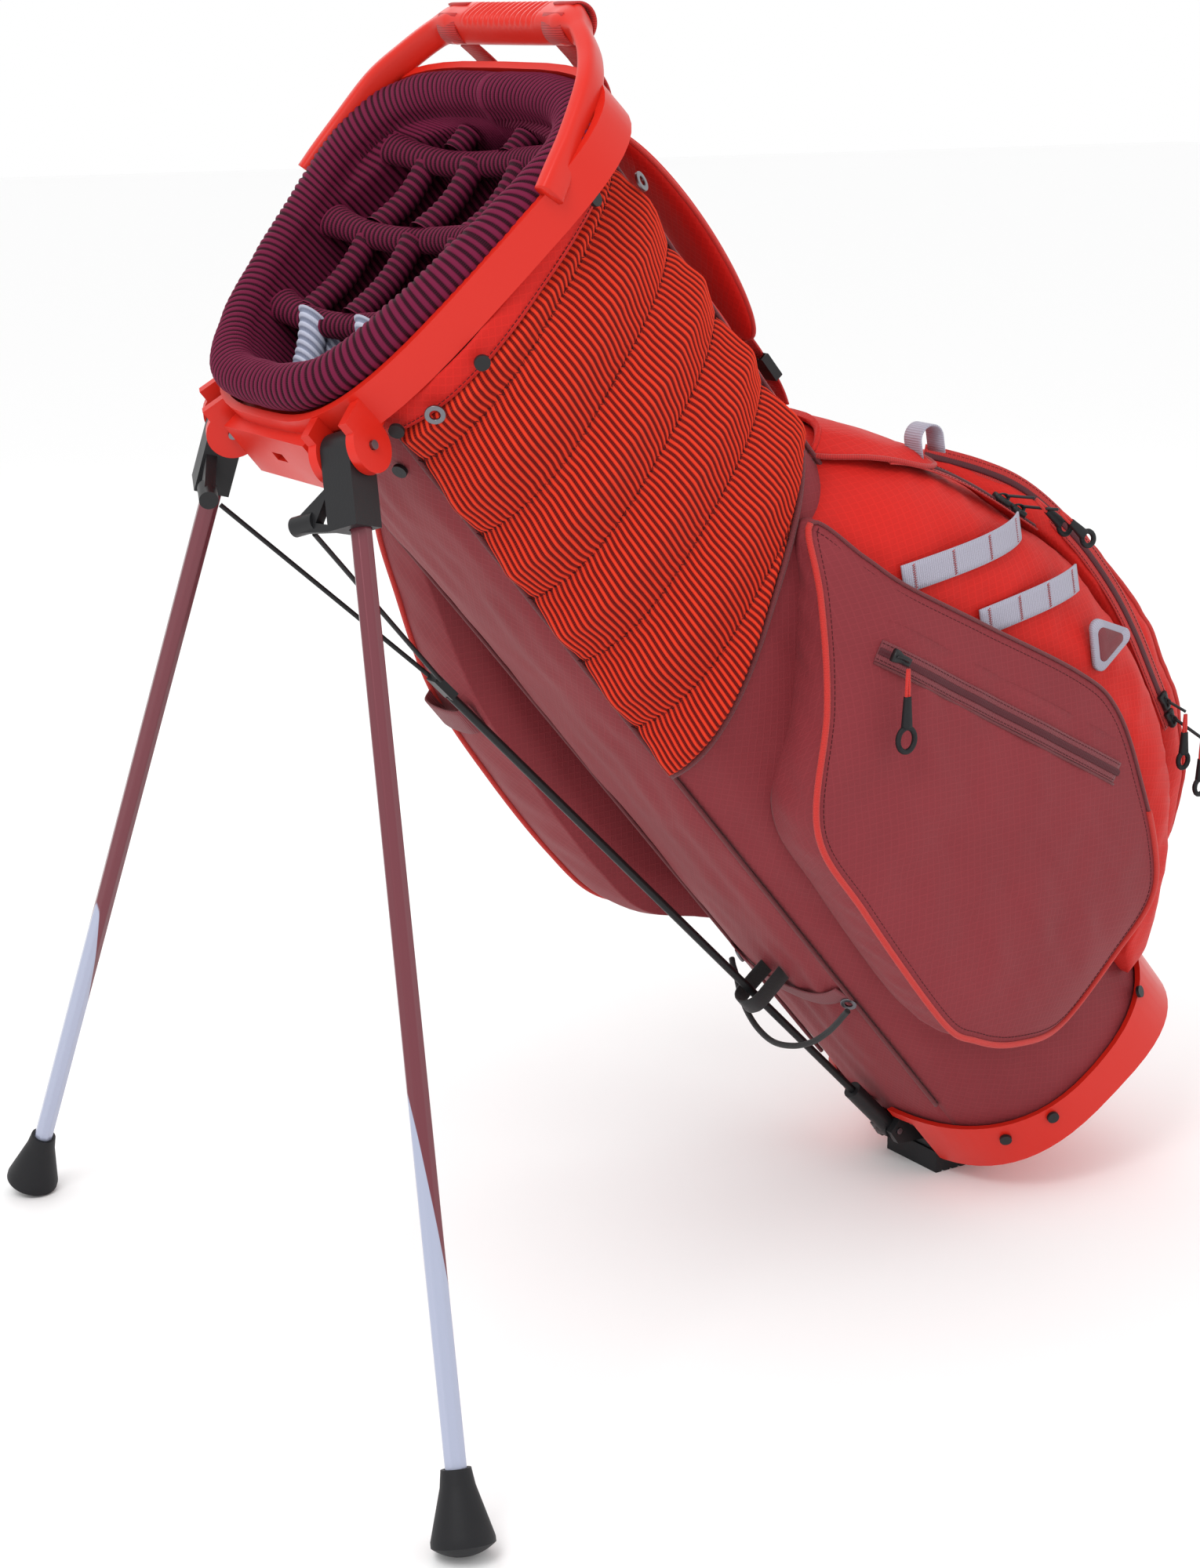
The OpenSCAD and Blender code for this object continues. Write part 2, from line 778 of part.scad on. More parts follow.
ball_pull_top = [[316, -121, 436], [322, -129, 420]];
pull_dir = [0.2, 0, -0.98];
module ball_zip_sliders() {
    color(black) place() {
        slider_body([312, -117, 444], [0, -24, 0]);
        slider_body([319, -117, 425], [0, -16, 0]);
    }
}
module ball_zip_pull_a() { color(black) place() pull(ball_pull_top[0] + [0, -4, 0], pull_dir, 42); }
module ball_zip_pull_b() { color(black) place() pull(ball_pull_top[1] + [0, -4, 0], pull_dir, 42); }

rear_pull_top = [[327, -117, 200], [322, -125, 178]];
module rear_zip_sliders() {
    color(black) place() {
        slider_body([329, -116, 212], [0, 12, 0]);
        slider_body([324, -116, 188], [0, 12, 0]);
    }
}
module rear_zip_pull_a() { color(black) place() pull(rear_pull_top[0] + [0, -4, 0], down, 42); }
module rear_zip_pull_b() { color(black) place() pull(rear_pull_top[1] + [0, -4, 0], down, 42); }

// ---------- legs ----------

// eight-sided leg tube, drawn along -Z of the leg's frame
module leg_tube(side) {
    corner_r = leg_tube_w / 2 / cos(22.5);
    color(leg_paint) place() at_leg(side) leg_swing()
        translate([0, 0, -leg_reach + 4]) rotate([0, 0, 22.5])
            difference() {
                cylinder(r = corner_r, h = leg_reach - 30, $fn = 8);
                translate([0, 0, -1]) cylinder(r = corner_r - 1.4, h = leg_reach, $fn = 8);
            }
}

module leg_tube_left() { leg_tube(far); }
module leg_tube_right() { leg_tube(near); }

// moulded bracket: pivot hub, leg socket and the lever that the wire works
module leg_bracket(side) {
    hub_r = 14;
    inner_y = -14;
    outer_y = 9;
    block_l = 48;
    arm_t = 7;
    color(black) place() at_leg(side) leg_swing()
        difference() {
            union() {
                cross_pin(0, 0, hub_r, inner_y, outer_y);
                translate([-hub_r, inner_y, -block_l])
                    cube([hub_r + 9, outer_y - inner_y, block_l]);
                // triangular lever arm
                translate([-lever_fore - arm_t / 2, 0, 0]) rotate([90, 0, 90]) linear_extrude(arm_t)
                    polygon([[inner_y + 1, -20], [inner_y + 1, -block_l],
                        [-lever_in - 4, -lever_down - 5], [-lever_in - 2, -lever_down + 5]]);
                cross_pin(-lever_fore, -lever_down, 6.3, -lever_in - lever_len / 2,
                    -lever_in + lever_len / 2);
            }
            cross_pin(0, 0, 3.07, -40, 40);
            translate([0, 0, -block_l - 1]) cylinder(r = 7, h = block_l - 23);
            translate([-lever_fore - 10, 0, 0]) rotate([90, 0, 90]) linear_extrude(20)
                polygon([[inner_y - 1.5, -27], [inner_y - 1.5, -43], [-lever_in + 11, -lever_down - 2]]);
        }
}

module leg_bracket_left() { leg_bracket(far); }
module leg_bracket_right() { leg_bracket(near); }

// ribbed rubber foot, flared, with a rounded sole
module leg_foot(side) {
    flare = 19;
    color(black) place() at_leg(side) leg_swing()
        translate([0, 0, -leg_reach])
            difference() {
                intersection() {
                    sphere(r = foot_ball_r, $fn = 48);
                    translate([0, 0, -foot_ball_r])
                        rotate_extrude($fn = 48)
                            polygon([[0, 0], [flare, 0], [flare, 10], [10.5, 40], [9, 50], [0, 50]]);
                }
                translate([0, 0, 3.8]) cylinder(r = 7, h = 80);
            }
}

module leg_foot_left() { leg_foot(far); }
module leg_foot_right() { leg_foot(near); }

// wire from the push rod's junction to a leg's lever
fork_x = -76.8;
fork_y = 64.9;
fork_z = 787.4;
module fork_wire(side) {
    color(black) place()
        rod([junction_x, side * 7, junction_z + 4], [fork_x, side * fork_y, fork_z], wire_d / 2);
}

module fork_wire_left() { fork_wire(far); }
module fork_wire_right() { fork_wire(near); }

// push rod with the block that joins the two wires
module push_rod() {
    color(black) place() {
        rod([pin_x - 2.4, 0, pin_z + 32], [junction_x, 0, junction_z - 12], rod_d / 2);
        translate([junction_x, 0, junction_z - 4]) rotate([0, -4.5, 0])
            cube([6, 11, 20], center = true);
    }
}

// socket on the push rod's lower end, with the eye that the foot lever works
module rod_socket() {
    color(black) place()
        difference() {
            union() {
                rod([pin_x, 0, pin_z], [pin_x - 4, 0, pin_z + 52], 7);
                cross_pin(pin_x, pin_z, 8, -6, 6);
            }
            cross_pin(pin_x, pin_z, 2.56, -20, 20);
            rod([pin_x - 2.4, 0, pin_z + 31.5], [pin_x - 5, 0, pin_z + 64], rod_d / 2 + 0.05);
        }
}

module socket_pin() {
    color(steel) place() cross_pin(pin_x, pin_z, 2.5, -14, 14);
}

// lever of the base foot: hub, cheeks up to the rod's socket, plate over the pad
module foot_lever() {
    color(black) place()
        difference() {
            union() {
                cross_pin(hinge_x, hinge_z, 8, -32, 32);
                for (y = [-13, 7])
                    translate([0, y + 6, 0]) rotate([90, 0, 0]) linear_extrude(6)
                        polygon([[hinge_x - 6, hinge_z - 8], [hinge_x + 6, hinge_z + 6],
                            [pin_x + 8, pin_z + 7], [pin_x - 6, pin_z + 5], [pin_x - 7, pin_z - 8]]);
                rotate([0, lean, 0]) translate([-24, -26, 17]) cube([22, 52, 10]);
            }
            cross_pin(hinge_x, hinge_z, 3.08, -60, 60);
            cross_pin(pin_x, pin_z, 2.52, -30, 30);
        }
}

// rubber pad the bag stands on; its sole is level when the bag leans on its legs
module foot_pad() {
    color(black)
        difference() {
            translate([-26, -30, 0]) cube([50, 60, 16.9]);
            for (i = [0:5])
                translate([-20 + 8 * i, -31, -1]) cube([2, 62, 2]);
        }
}

base_cup();
base_floor();
rivets();
foot_hinge_pin();
front_panel();
near_panel();
far_panel();
spine_panel();
stays();
top_collar();
handle();
handle_wraps();
strap_webbing();
rim_pad();
divider_cross_1();
divider_cross_2();
divider_cross_3();
dividers_row_1();
dividers_row_2();
dividers_row_3();
dividers_row_4();
hip_pad();
near_pocket();
far_pocket();
ball_pocket();
rear_pocket();
lash_strips();
badge();
tab_loop();
loop_strap();
eyelets();
rod_keeper();
bungee();
leg_screws();
near_zip_track();
curved_zip_tracks();
strap_pads();
strap_buckles();
leg_tube_left();
leg_tube_right();
leg_bracket_left();
leg_bracket_right();
leg_foot_left();
leg_foot_right();
fork_wire_left();
fork_wire_right();
push_rod();
rod_socket();
socket_pin();
foot_lever();
foot_pad();
pocket_flap();
near_zip_slider();
near_zip_pull();
ball_zip_sliders();
ball_zip_pull_a();
ball_zip_pull_b();
rear_zip_sliders();
rear_zip_pull_a();
rear_zip_pull_b();
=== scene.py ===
"""Looks of a golf stand bag: soft panels, pockets, pads, webbing, mouldings and metal parts.

Shapes are worked out in the bag's own frame in millimetres (X from the leg side to the
pocket side, Y across, W up the bag's axis) and leaned into the world by lean_points().
"""

import json
import logging
import math
from dataclasses import dataclass, field
from enum import Enum

import bpy
import numpy as np
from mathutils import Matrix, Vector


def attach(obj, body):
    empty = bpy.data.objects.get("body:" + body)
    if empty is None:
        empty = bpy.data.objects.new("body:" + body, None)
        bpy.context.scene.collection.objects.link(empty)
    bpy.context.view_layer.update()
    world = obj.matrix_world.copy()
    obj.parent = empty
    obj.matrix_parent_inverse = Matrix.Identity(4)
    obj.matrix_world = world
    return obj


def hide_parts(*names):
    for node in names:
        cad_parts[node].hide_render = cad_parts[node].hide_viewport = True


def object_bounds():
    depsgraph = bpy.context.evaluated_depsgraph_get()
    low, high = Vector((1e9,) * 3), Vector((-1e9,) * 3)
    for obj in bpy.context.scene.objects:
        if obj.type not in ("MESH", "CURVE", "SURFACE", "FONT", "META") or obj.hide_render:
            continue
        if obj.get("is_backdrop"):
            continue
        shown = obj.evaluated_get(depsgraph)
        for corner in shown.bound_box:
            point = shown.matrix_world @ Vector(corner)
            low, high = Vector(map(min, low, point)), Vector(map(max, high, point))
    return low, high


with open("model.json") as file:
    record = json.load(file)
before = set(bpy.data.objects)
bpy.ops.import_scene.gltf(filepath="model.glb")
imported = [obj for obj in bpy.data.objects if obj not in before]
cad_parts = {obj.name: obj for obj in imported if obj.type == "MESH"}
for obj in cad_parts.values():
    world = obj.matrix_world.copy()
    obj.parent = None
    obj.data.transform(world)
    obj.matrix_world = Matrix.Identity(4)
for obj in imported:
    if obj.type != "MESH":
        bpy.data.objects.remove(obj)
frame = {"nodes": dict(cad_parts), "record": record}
log = logging.getLogger("stand_bag")

Points = np.ndarray
LEAN = math.radians(40.0)


# ---------- frame and colour ----------


def lean_points(points: Points) -> Points:
    """Turns points from the bag's frame into the world.

    Args:
        points: array of (..., 3) in millimetres, as X, Y, W.

    Returns:
        The same points in metres in the world's frame.
    """
    c, s = math.cos(LEAN), math.sin(LEAN)
    p = np.asarray(points, float)
    x, y, w = p[..., 0], p[..., 1], p[..., 2]
    return np.stack([x * c - w * s, y, x * s + w * c], axis=-1) / 1000.0


def linear(hex_colour: str) -> tuple[float, float, float, float]:
    """Turns an sRGB hex colour into a linear one.

    Args:
        hex_colour: a colour such as "#F0452F".

    Returns:
        Red, green, blue and alpha, linear.
    """
    digits = hex_colour.lstrip("#")
    srgb = [int(digits[i:i + 2], 16) / 255.0 for i in (0, 2, 4)]
    rgb = [v / 12.92 if v <= 0.04045 else ((v + 0.055) / 1.055) ** 2.4 for v in srgb]
    return (rgb[0], rgb[1], rgb[2], 1.0)


def smooth_step(v: Points) -> Points:
    """Eases values from 0 to 1.

    Args:
        v: values, clipped to 0..1 first.

    Returns:
        The eased values.
    """
    v = np.clip(v, 0.0, 1.0)
    return v * v * (3.0 - 2.0 * v)


def signed_power(v: Points, e: float) -> Points:
    """Raises the size of v to a power and keeps its sign.

    Args:
        v: values.
        e: the power.

    Returns:
        The powered values.
    """
    return np.sign(v) * np.abs(v) ** e


def table(z: Points, rows: list[tuple[float, float]]) -> Points:
    """Reads a smooth curve through (height, value) rows.

    Args:
        z: heights to read at.
        rows: the known pairs, by rising height.

    Returns:
        The values at z, by monotone cubic between rows.
    """
    zs = np.array([r[0] for r in rows], float)
    vs = np.array([r[1] for r in rows], float)
    z = np.clip(np.asarray(z, float), zs[0], zs[-1])
    slope = np.diff(vs) / np.diff(zs)
    grad = np.concatenate([[slope[0]], (slope[:-1] + slope[1:]) / 2.0, [slope[-1]]])
    flip = np.concatenate([[False], slope[:-1] * slope[1:] <= 0.0, [False]])
    grad[flip] = 0.0
    i = np.clip(np.searchsorted(zs, z, side="right") - 1, 0, len(zs) - 2)
    h = zs[i + 1] - zs[i]
    t = (z - zs[i]) / h
    return ((2 * t**3 - 3 * t**2 + 1) * vs[i] + (t**3 - 2 * t**2 + t) * h * grad[i]
            + (-2 * t**3 + 3 * t**2) * vs[i + 1] + (t**3 - t**2) * h * grad[i + 1])


def folds(points: Points, size: tuple[float, float, float], seed: int, count: int = 7) -> Points:
    """Soft uneven waves over space, for cloth that isn't quite flat.

    Args:
        points: array of (..., 3) in millimetres.
        size: wavelength in millimetres along X, Y and W.
        seed: which set of waves.
        count: how many waves are added up.

    Returns:
        Values of about -1..1.
    """
    rng = np.random.default_rng(seed)
    total = np.zeros(np.asarray(points).shape[:-1])
    for _ in range(count):
        k = rng.normal(size=3) * 2.0 * math.pi / np.array(size)
        phase = rng.uniform(0, 2 * math.pi)
        total += np.sin(points @ k + phase + 0.7 * np.sin(points @ (k[[1, 2, 0]] * 0.6) + phase * 2))
    return total / math.sqrt(count) / 1.4


def run_length(points: Points) -> Points:
    """Distance along a line of points.

    Args:
        points: array of (n, 3).

    Returns:
        n distances, starting at 0.
    """
    steps = np.linalg.norm(np.diff(points, axis=0), axis=1)
    return np.concatenate([[0.0], np.cumsum(steps)])


def spline(points: list, count: int, closed: bool = False) -> Points:
    """Evenly spaced points on a smooth curve through the given ones.

    Args:
        points: the points to pass through.
        count: how many to return.
        closed: whether the curve returns to its start.

    Returns:
        Array of (count, dimensions).
    """
    p = np.asarray(points, float)
    if closed:
        p = np.vstack([p[-1], p, p[0], p[1]])
    else:
        p = np.vstack([2 * p[0] - p[1], p, 2 * p[-1] - p[-2]])
    dense = []
    for i in range(1, len(p) - 2):
        t = np.linspace(0, 1, 40, endpoint=False)[:, None]
        a, b, c, d = p[i - 1], p[i], p[i + 1], p[i + 2]
        dense.append(0.5 * (2 * b + (c - a) * t + (2 * a - 5 * b + 4 * c - d) * t**2
                            + (3 * b - a - 3 * c + d) * t**3))
    dense.append(p[-2][None])
    line = np.vstack(dense)
    s = run_length(line)
    want = np.linspace(0, s[-1], count, endpoint=not closed)
    return np.stack([np.interp(want, s, line[:, k]) for k in range(p.shape[1])], axis=1)


# ---------- the bag's shape ----------


class Shell:
    """The bag's outline at every height, shared by the panels and all that lies on them."""

    ROUND = 2.0 / 2.8

    @staticmethod
    def taper(w: Points) -> Points:
        """Half the growth of the depth at height w."""
        return 12.0 * np.clip((np.asarray(w, float) - 75.0) / 400.0, 0.0, 1.0)

    @classmethod
    def point(cls, angle: Points, grown: Points, w: Points) -> Points:
        """A point of the outline.

        Args:
            angle: in degrees, 0 at the spine and 180 at the leg side.
            grown: millimetres outside the outline.
            w: height along the bag.

        Returns:
            Array of (..., 3).
        """
        a = np.radians(angle)
        wide = 118.0 + 6.0 * np.clip((np.asarray(w, float) - 600.0) / 200.0, 0.0, 1.0)
        deep = 110.0 + cls.taper(w)
        x = 103.0 + cls.taper(w) + (deep + grown) * signed_power(np.cos(a), cls.ROUND)
        y = (wide + grown) * signed_power(np.sin(a), cls.ROUND)
        return np.stack(np.broadcast_arrays(x, y, np.asarray(w, float)), axis=-1)

    @classmethod
    def half_width(cls, x: Points, grown: float, w: Points) -> Points:
        """Half the body's width at x, grown outwards.

        Args:
            x: distance from the leg side.
            grown: millimetres outside the outline.
            w: height along the bag.

        Returns:
            Half the width in millimetres.
        """
        deep = 110.0 + cls.taper(w) + grown
        wide = 118.0 + 6.0 * np.clip((np.asarray(w, float) - 600.0) / 200.0, 0.0, 1.0) + grown
        part = np.clip(1.0 - (np.abs(x - 103.0 - cls.taper(w)) / deep) ** 2.8, 0.0, 1.0)
        return wide * part ** (1 / 2.8)

    @staticmethod
    def seam(x: Points) -> Points:
        """Height of the collar's lower edge over x."""
        return 818.0 + 0.17 * np.asarray(x, float)

    @staticmethod
    def floor(x: Points) -> Points:
        """Height of the cup's underside over x."""
        return 26.0 - 0.1104 * np.asarray(x, float)

    @staticmethod
    def mouth(t: Points, grown: Points, up: Points) -> Points:
        """A point by the mouth's outline.

        Args:
            t: angle in radians, 0 towards the handle.
            grown: millimetres outside the outline.
            up: millimetres above the mouth's plane.

        Returns:
            Array of (..., 3).
        """
        c, s = signed_power(np.cos(t), 0.55), signed_power(np.sin(t), 0.55)
        x = (133.0 + grown) * c
        y = (130.0 + grown) * s * (1.0 + 0.3 * c)
        k = math.radians(5.6)
        px = 100.0 + x * math.cos(k) - up * math.sin(k)
        pw = 858.0 + x * math.sin(k) + up * math.cos(k)
        return np.stack(np.broadcast_arrays(px, y, pw), axis=-1)


NEAR_BACK = [(100, 206), (130, 226), (180, 246), (230, 262), (300, 264), (400, 232), (480, 203),
             (540, 188), (566, 185)]
NEAR_OUT = [(100, 128), (130, 148), (180, 160), (230, 165), (330, 166), (400, 164), (480, 158),
            (540, 139), (566, 126)]
FAR_OUT = [(100, 128), (140, 146), (180, 158), (240, 166), (300, 172), (350, 174), (430, 176),
           (520, 172), (600, 160), (665, 147), (740, 128)]
BALL_SIDE = [(70, 112), (95, 126), (140, 140), (200, 147), (280, 150), (430, 150), (500, 143),
             (548, 120), (570, 88)]
BALL_BACK = [(70, 226), (95, 250), (140, 285), (200, 318), (280, 334), (350, 335), (430, 314),
             (500, 286), (548, 258), (570, 243)]
REAR_SIDE = [(66, 62), (93, 86), (138, 100), (205, 106), (288, 108), (373, 104), (440, 92),
             (486, 58)]
REAR_BACK = [(66, 244), (93, 290), (138, 334), (205, 356), (288, 366), (373, 356), (440, 335),
             (486, 304)]
PILLOW = 3.5


def ball_face(y: Points, w: Points) -> Points:
    """X of the ball pocket's outer face at side y and height w.

    Args:
        y: distance from the middle.
        w: height along the bag.

    Returns:
        X in millimetres.
    """
    inner = table(w, NEAR_BACK) + 1.0
    part = np.clip(1.0 - (np.abs(y) / table(w, BALL_SIDE)) ** PILLOW, 0.0, 1.0)
    return inner + (table(w, BALL_BACK) - inner) * part ** (1 / PILLOW)


def ball_flank(x: Points, w: Points) -> Points:
    """Y, without its sign, of the ball pocket's side at x and height w.

    Args:
        x: distance from the leg side.
        w: height along the bag.

    Returns:
        Y in millimetres.
    """
    inner = table(w, NEAR_BACK) + 1.0
    part = np.clip((np.asarray(x) - inner) / (table(w, BALL_BACK) - inner), 0.0, 1.0)
    return table(w, BALL_SIDE) * np.clip(1.0 - part**PILLOW, 0.0, 1.0) ** (1 / PILLOW)


def rear_flank(x: Points, w: Points) -> Points:
    """Y, without its sign, of the rear pocket's side at x and height w.

    Args:
        x: distance from the leg side.
        w: height along the bag.

    Returns:
        Y in millimetres.
    """
    half = table(w, REAR_SIDE)
    edge = ball_face(half, w)
    part = np.clip((np.asarray(x) - edge) / np.maximum(table(w, REAR_BACK) - edge, 8.0), 0.0, 0.96)
    return half * (1 - part**3.2) ** (1 / 3.2)


def along(start: tuple, end: tuple, count: int) -> Points:
    """Evenly spaced points from start to end.

    Args:
        start: the first point.
        end: the last point.
        count: how many.

    Returns:
        Array of (count, dimensions).
    """
    first, last = np.asarray(start, float), np.asarray(end, float)
    return first + np.linspace(0, 1, count)[:, None] * (last - first)


# ---------- finishes ----------


def add_node(tree: bpy.types.NodeTree, kind: str, inputs: dict | None = None, **settings) -> bpy.types.Node:
    """Adds a shader node.

    Args:
        tree: the material's node tree.
        kind: the node's type without its "ShaderNode" prefix.
        inputs: values or sockets for its inputs, by name or number.
        settings: properties of the node itself.

    Returns:
        The new node.
    """
    made = tree.nodes.new("ShaderNode" + kind)
    for name, value in settings.items():
        setattr(made, name, value)
    for name, value in (inputs or {}).items():
        if isinstance(value, bpy.types.NodeSocket):
            tree.links.new(value, made.inputs[name])
        else:
            made.inputs[name].default_value = value
    return made


class Finish:
    """A surface finish that makes its Blender material once."""

    name: str

    def material(self) -> bpy.types.Material:
        """Returns:
            The finish's material, made on first use.
        """
        found = bpy.data.materials.get(self.name)
        if found is not None:
            return found
        made = bpy.data.materials.new(self.name)
        made.use_nodes = True
        tree = made.node_tree
        shader = tree.nodes["Principled BSDF"]
        self.build(tree, shader)
        return made

    def build(self, tree: bpy.types.NodeTree, shader: bpy.types.Node) -> None:
        """Fills the node tree.

        Args:
            tree: the material's nodes.
            shader: its principled shader.
        """
        raise NotImplementedError

    @staticmethod
    def bump(tree: bpy.types.NodeTree, shader: bpy.types.Node, height: bpy.types.NodeSocket,
             strength: float, distance: float) -> None:
        """Links a height to the shader's normal.

        Args:
            tree: the material's nodes.
            shader: its principled shader.
            height: the relief's output.
            strength: how strongly it tilts the light.
            distance: its depth in metres.
        """
        relief = add_node(tree, "Bump", {"Height": height, "Strength": strength, "Distance": distance})
        tree.links.new(relief.outputs[0], shader.inputs["Normal"])


@dataclass(frozen=True)
class Moulding(Finish):
    """Moulded polymer: even colour, a soft highlight and a faint grain that breaks the gloss."""

    name: str
    colour: str
    roughness: float = 0.38
    grain: float = 0.12
    grain_mm: float = 0.8
    glow: float = 0.0

    def build(self, tree: bpy.types.NodeTree, shader: bpy.types.Node) -> None:
        """Fine grain for the bump, and gloss that varies a little with handling.

        Args:
            tree: the material's nodes.
            shader: its principled shader.
        """
        shader.inputs["Base Color"].default_value = linear(self.colour)
        shader.inputs["Subsurface Weight"].default_value = self.glow
        shader.inputs["Subsurface Radius"].default_value = (1.0, 0.25, 0.12)
        shader.inputs["Subsurface Scale"].default_value = 0.003
        shader.inputs["IOR"].default_value = 1.49
        shader.inputs["Specular IOR Level"].default_value = 0.3
        place = add_node(tree, "TexCoord")
        speck = add_node(tree, "TexNoise",
                         {"Vector": place.outputs["Object"], "Scale": 1000 / self.grain_mm / 2,
                                            "Detail": 2.0})
        wear = add_node(tree, "TexNoise", {"Vector": place.outputs["Object"], "Scale": 22.0, "Detail": 3.0})
        rough = add_node(tree, "MapRange", {"Value": wear.outputs["Fac"], "From Min": 0.3, "From Max": 0.7,
                                            "To Min": self.roughness - 0.05, "To Max": self.roughness + 0.06})
        tree.links.new(rough.outputs[0], shader.inputs["Roughness"])
        self.bump(tree, shader, speck.outputs["Fac"], self.grain, 0.0003)


@dataclass(frozen=True)
class Ripstop(Finish):
    """Coated polyester with a raised diamond grid of thicker threads; the sheen gives its dusty edge."""

    name: str
    colour: str
    roughness: float = 0.62
    grid_mm: float = 5.0
    sheen: float = 0.35

    def build(self, tree: bpy.types.NodeTree, shader: bpy.types.Node) -> None:
        """Raised grid over a fine weave, its lines painted lighter as a highlight. The grid has twice its
        real pitch, so that it shows.

        Args:
            tree: the material's nodes.
            shader: its principled shader.
        """
        cloth = add_node(tree, "UVMap")
        turned = add_node(tree, "Mapping", {"Vector": cloth.outputs[0],
                                            "Rotation": (0.0, 0.0, math.radians(38)),
                                            "Scale": (1000 / self.grid_mm,) * 3})
        lines = []
        for direction in ("X", "Y"):
            wave = add_node(tree, "TexWave",
                            {"Vector": turned.outputs[0], "Scale": 0.31831, "Distortion": 0.0},
                            bands_direction=direction)
            thin = add_node(tree, "MapRange",
                            {"Value": wave.outputs["Fac"], "From Min": 0.86, "From Max": 1.0})
            lines.append(thin.outputs[0])
        grid = add_node(tree, "Math", {0: lines[0], 1: lines[1]}, operation="MAXIMUM")
        weave = add_node(tree, "TexNoise", {"Vector": cloth.outputs[0], "Scale": 900.0, "Detail": 1.0})
        height = add_node(tree, "Math", {0: grid.outputs[0], 1: weave.outputs["Fac"]}, operation="ADD")
        patch = add_node(tree, "TexNoise", {"Vector": cloth.outputs[0], "Scale": 11.0, "Detail": 4.0})
        shade = add_node(tree, "MapRange", {"Value": patch.outputs["Fac"], "From Min": 0.3, "From Max": 0.7,
                                            "To Min": 0.93, "To Max": 1.05})
        # Painted highlight: the raised grid's lines are painted 10% lighter than the cloth's random tone.
        lit = add_node(tree, "Math", {0: grid.outputs[0], 1: 0.10, 2: shade.outputs[0]},
                       operation="MULTIPLY_ADD")
        tint = add_node(tree, "HueSaturation", {"Color": linear(self.colour), "Value": lit.outputs[0]})
        tree.links.new(tint.outputs[0], shader.inputs["Base Color"])
        shader.inputs["Roughness"].default_value = self.roughness
        shader.inputs["Specular IOR Level"].default_value = 0.16
        shader.inputs["Sheen Weight"].default_value = self.sheen * 0.4
        shader.inputs["Sheen Roughness"].default_value = 0.4
        self.bump(tree, shader, height.outputs[0], 0.3, 0.0004)


@dataclass(frozen=True)
class RibbedKnit(Finish):
    """Ribbed mesh: light ridges over grooves painted dark as shade, so that each rib reads as a line."""

    name: str
    ridge: str
    valley_shade: str
    dash_mm: float = 1.3

    def build(self, tree: bpy.types.NodeTree, shader: bpy.types.Node) -> None:
        """Colours by the mesh's own ribs, the grooves between them painted dark as shade, with short dashes
        of yarn across them.

        Args:
            tree: the material's nodes.
            shader: its principled shader.
        """
        relief = add_node(tree, "Attribute", attribute_name="relief")
        cloth = add_node(tree, "UVMap")
        stretch = add_node(tree, "Mapping",
                           {"Vector": cloth.outputs[0], "Scale": (200.0, 1000 / self.dash_mm, 1.0)})
        dash = add_node(tree, "TexWave", {"Vector": stretch.outputs[0], "Scale": 0.31831, "Distortion": 0.6},
                        bands_direction="Y")
        # Painted shade: where the relief is low, between the ribs, the colour goes to the dark valley colour,
        # a painted shade in the grooves.
        fac = add_node(tree, "MapRange", {"Value": relief.outputs["Fac"], "From Min": 0.36, "From Max": 0.78})
        low = add_node(tree, "MapRange", {"Value": dash.outputs["Fac"], "To Min": 0.0, "To Max": 0.22})
        mixed = add_node(tree, "Math", {0: fac.outputs[0], 1: low.outputs[0]}, operation="MAXIMUM")
        colour = add_node(tree, "Mix", {"Factor": mixed.outputs[0]}, data_type="RGBA")
        colour.inputs[6].default_value = linear(self.valley_shade)
        colour.inputs[7].default_value = linear(self.ridge)
        tree.links.new(colour.outputs[2], shader.inputs["Base Color"])
        shader.inputs["Roughness"].default_value = 0.72
        shader.inputs["Specular IOR Level"].default_value = 0.12
        shader.inputs["Sheen Weight"].default_value = 0.03
        shader.inputs["Sheen Roughness"].default_value = 0.4
        self.bump(tree, shader, dash.outputs["Fac"], 0.25, 0.0003)


@dataclass(frozen=True)
class Webbing(Finish):
    """Woven strap: fine slanted ribs across the width and a dry look."""

    name: str
    colour: str
    rib_mm: float = 1.6
    roughness: float = 0.7

    def build(self, tree: bpy.types.NodeTree, shader: bpy.types.Node) -> None:
        """Ribs and warp give both the bump and the painted shade in the gaps between yarns, with a slight
        painted highlight on the ribs.

        Args:
            tree: the material's nodes.
            shader: its principled shader.
        """
        cloth = add_node(tree, "UVMap")
        stretch = add_node(tree, "Mapping", {"Vector": cloth.outputs[0], "Scale": (1000 / self.rib_mm,) * 3})
        ribs = add_node(tree, "TexWave", {"Vector": stretch.outputs[0], "Scale": 0.31831, "Distortion": 0.8,
                                          "Detail Scale": 1.4}, bands_direction="X")
        warp = add_node(tree, "TexWave", {"Vector": stretch.outputs[0], "Scale": 0.5, "Distortion": 0.3},
                        bands_direction="Y")
        height = add_node(tree, "Math", {0: warp.outputs["Fac"], 1: 0.4, 2: ribs.outputs["Fac"]},
                          operation="MULTIPLY_ADD")
        # Painted shade and highlight: gaps between ribs and yarns are painted up to 28% darker, rib tops up
        # to 8% lighter.
        shade = add_node(tree, "MapRange", {"Value": height.outputs[0], "From Max": 1.4, "To Min": 0.72,
                                            "To Max": 1.08})
        tint = add_node(tree, "HueSaturation", {"Color": linear(self.colour), "Value": shade.outputs[0]})
        tree.links.new(tint.outputs[0], shader.inputs["Base Color"])
        shader.inputs["Roughness"].default_value = self.roughness
        shader.inputs["Sheen Weight"].default_value = 0.12
        self.bump(tree, shader, height.outputs[0], 0.5, 0.0005)


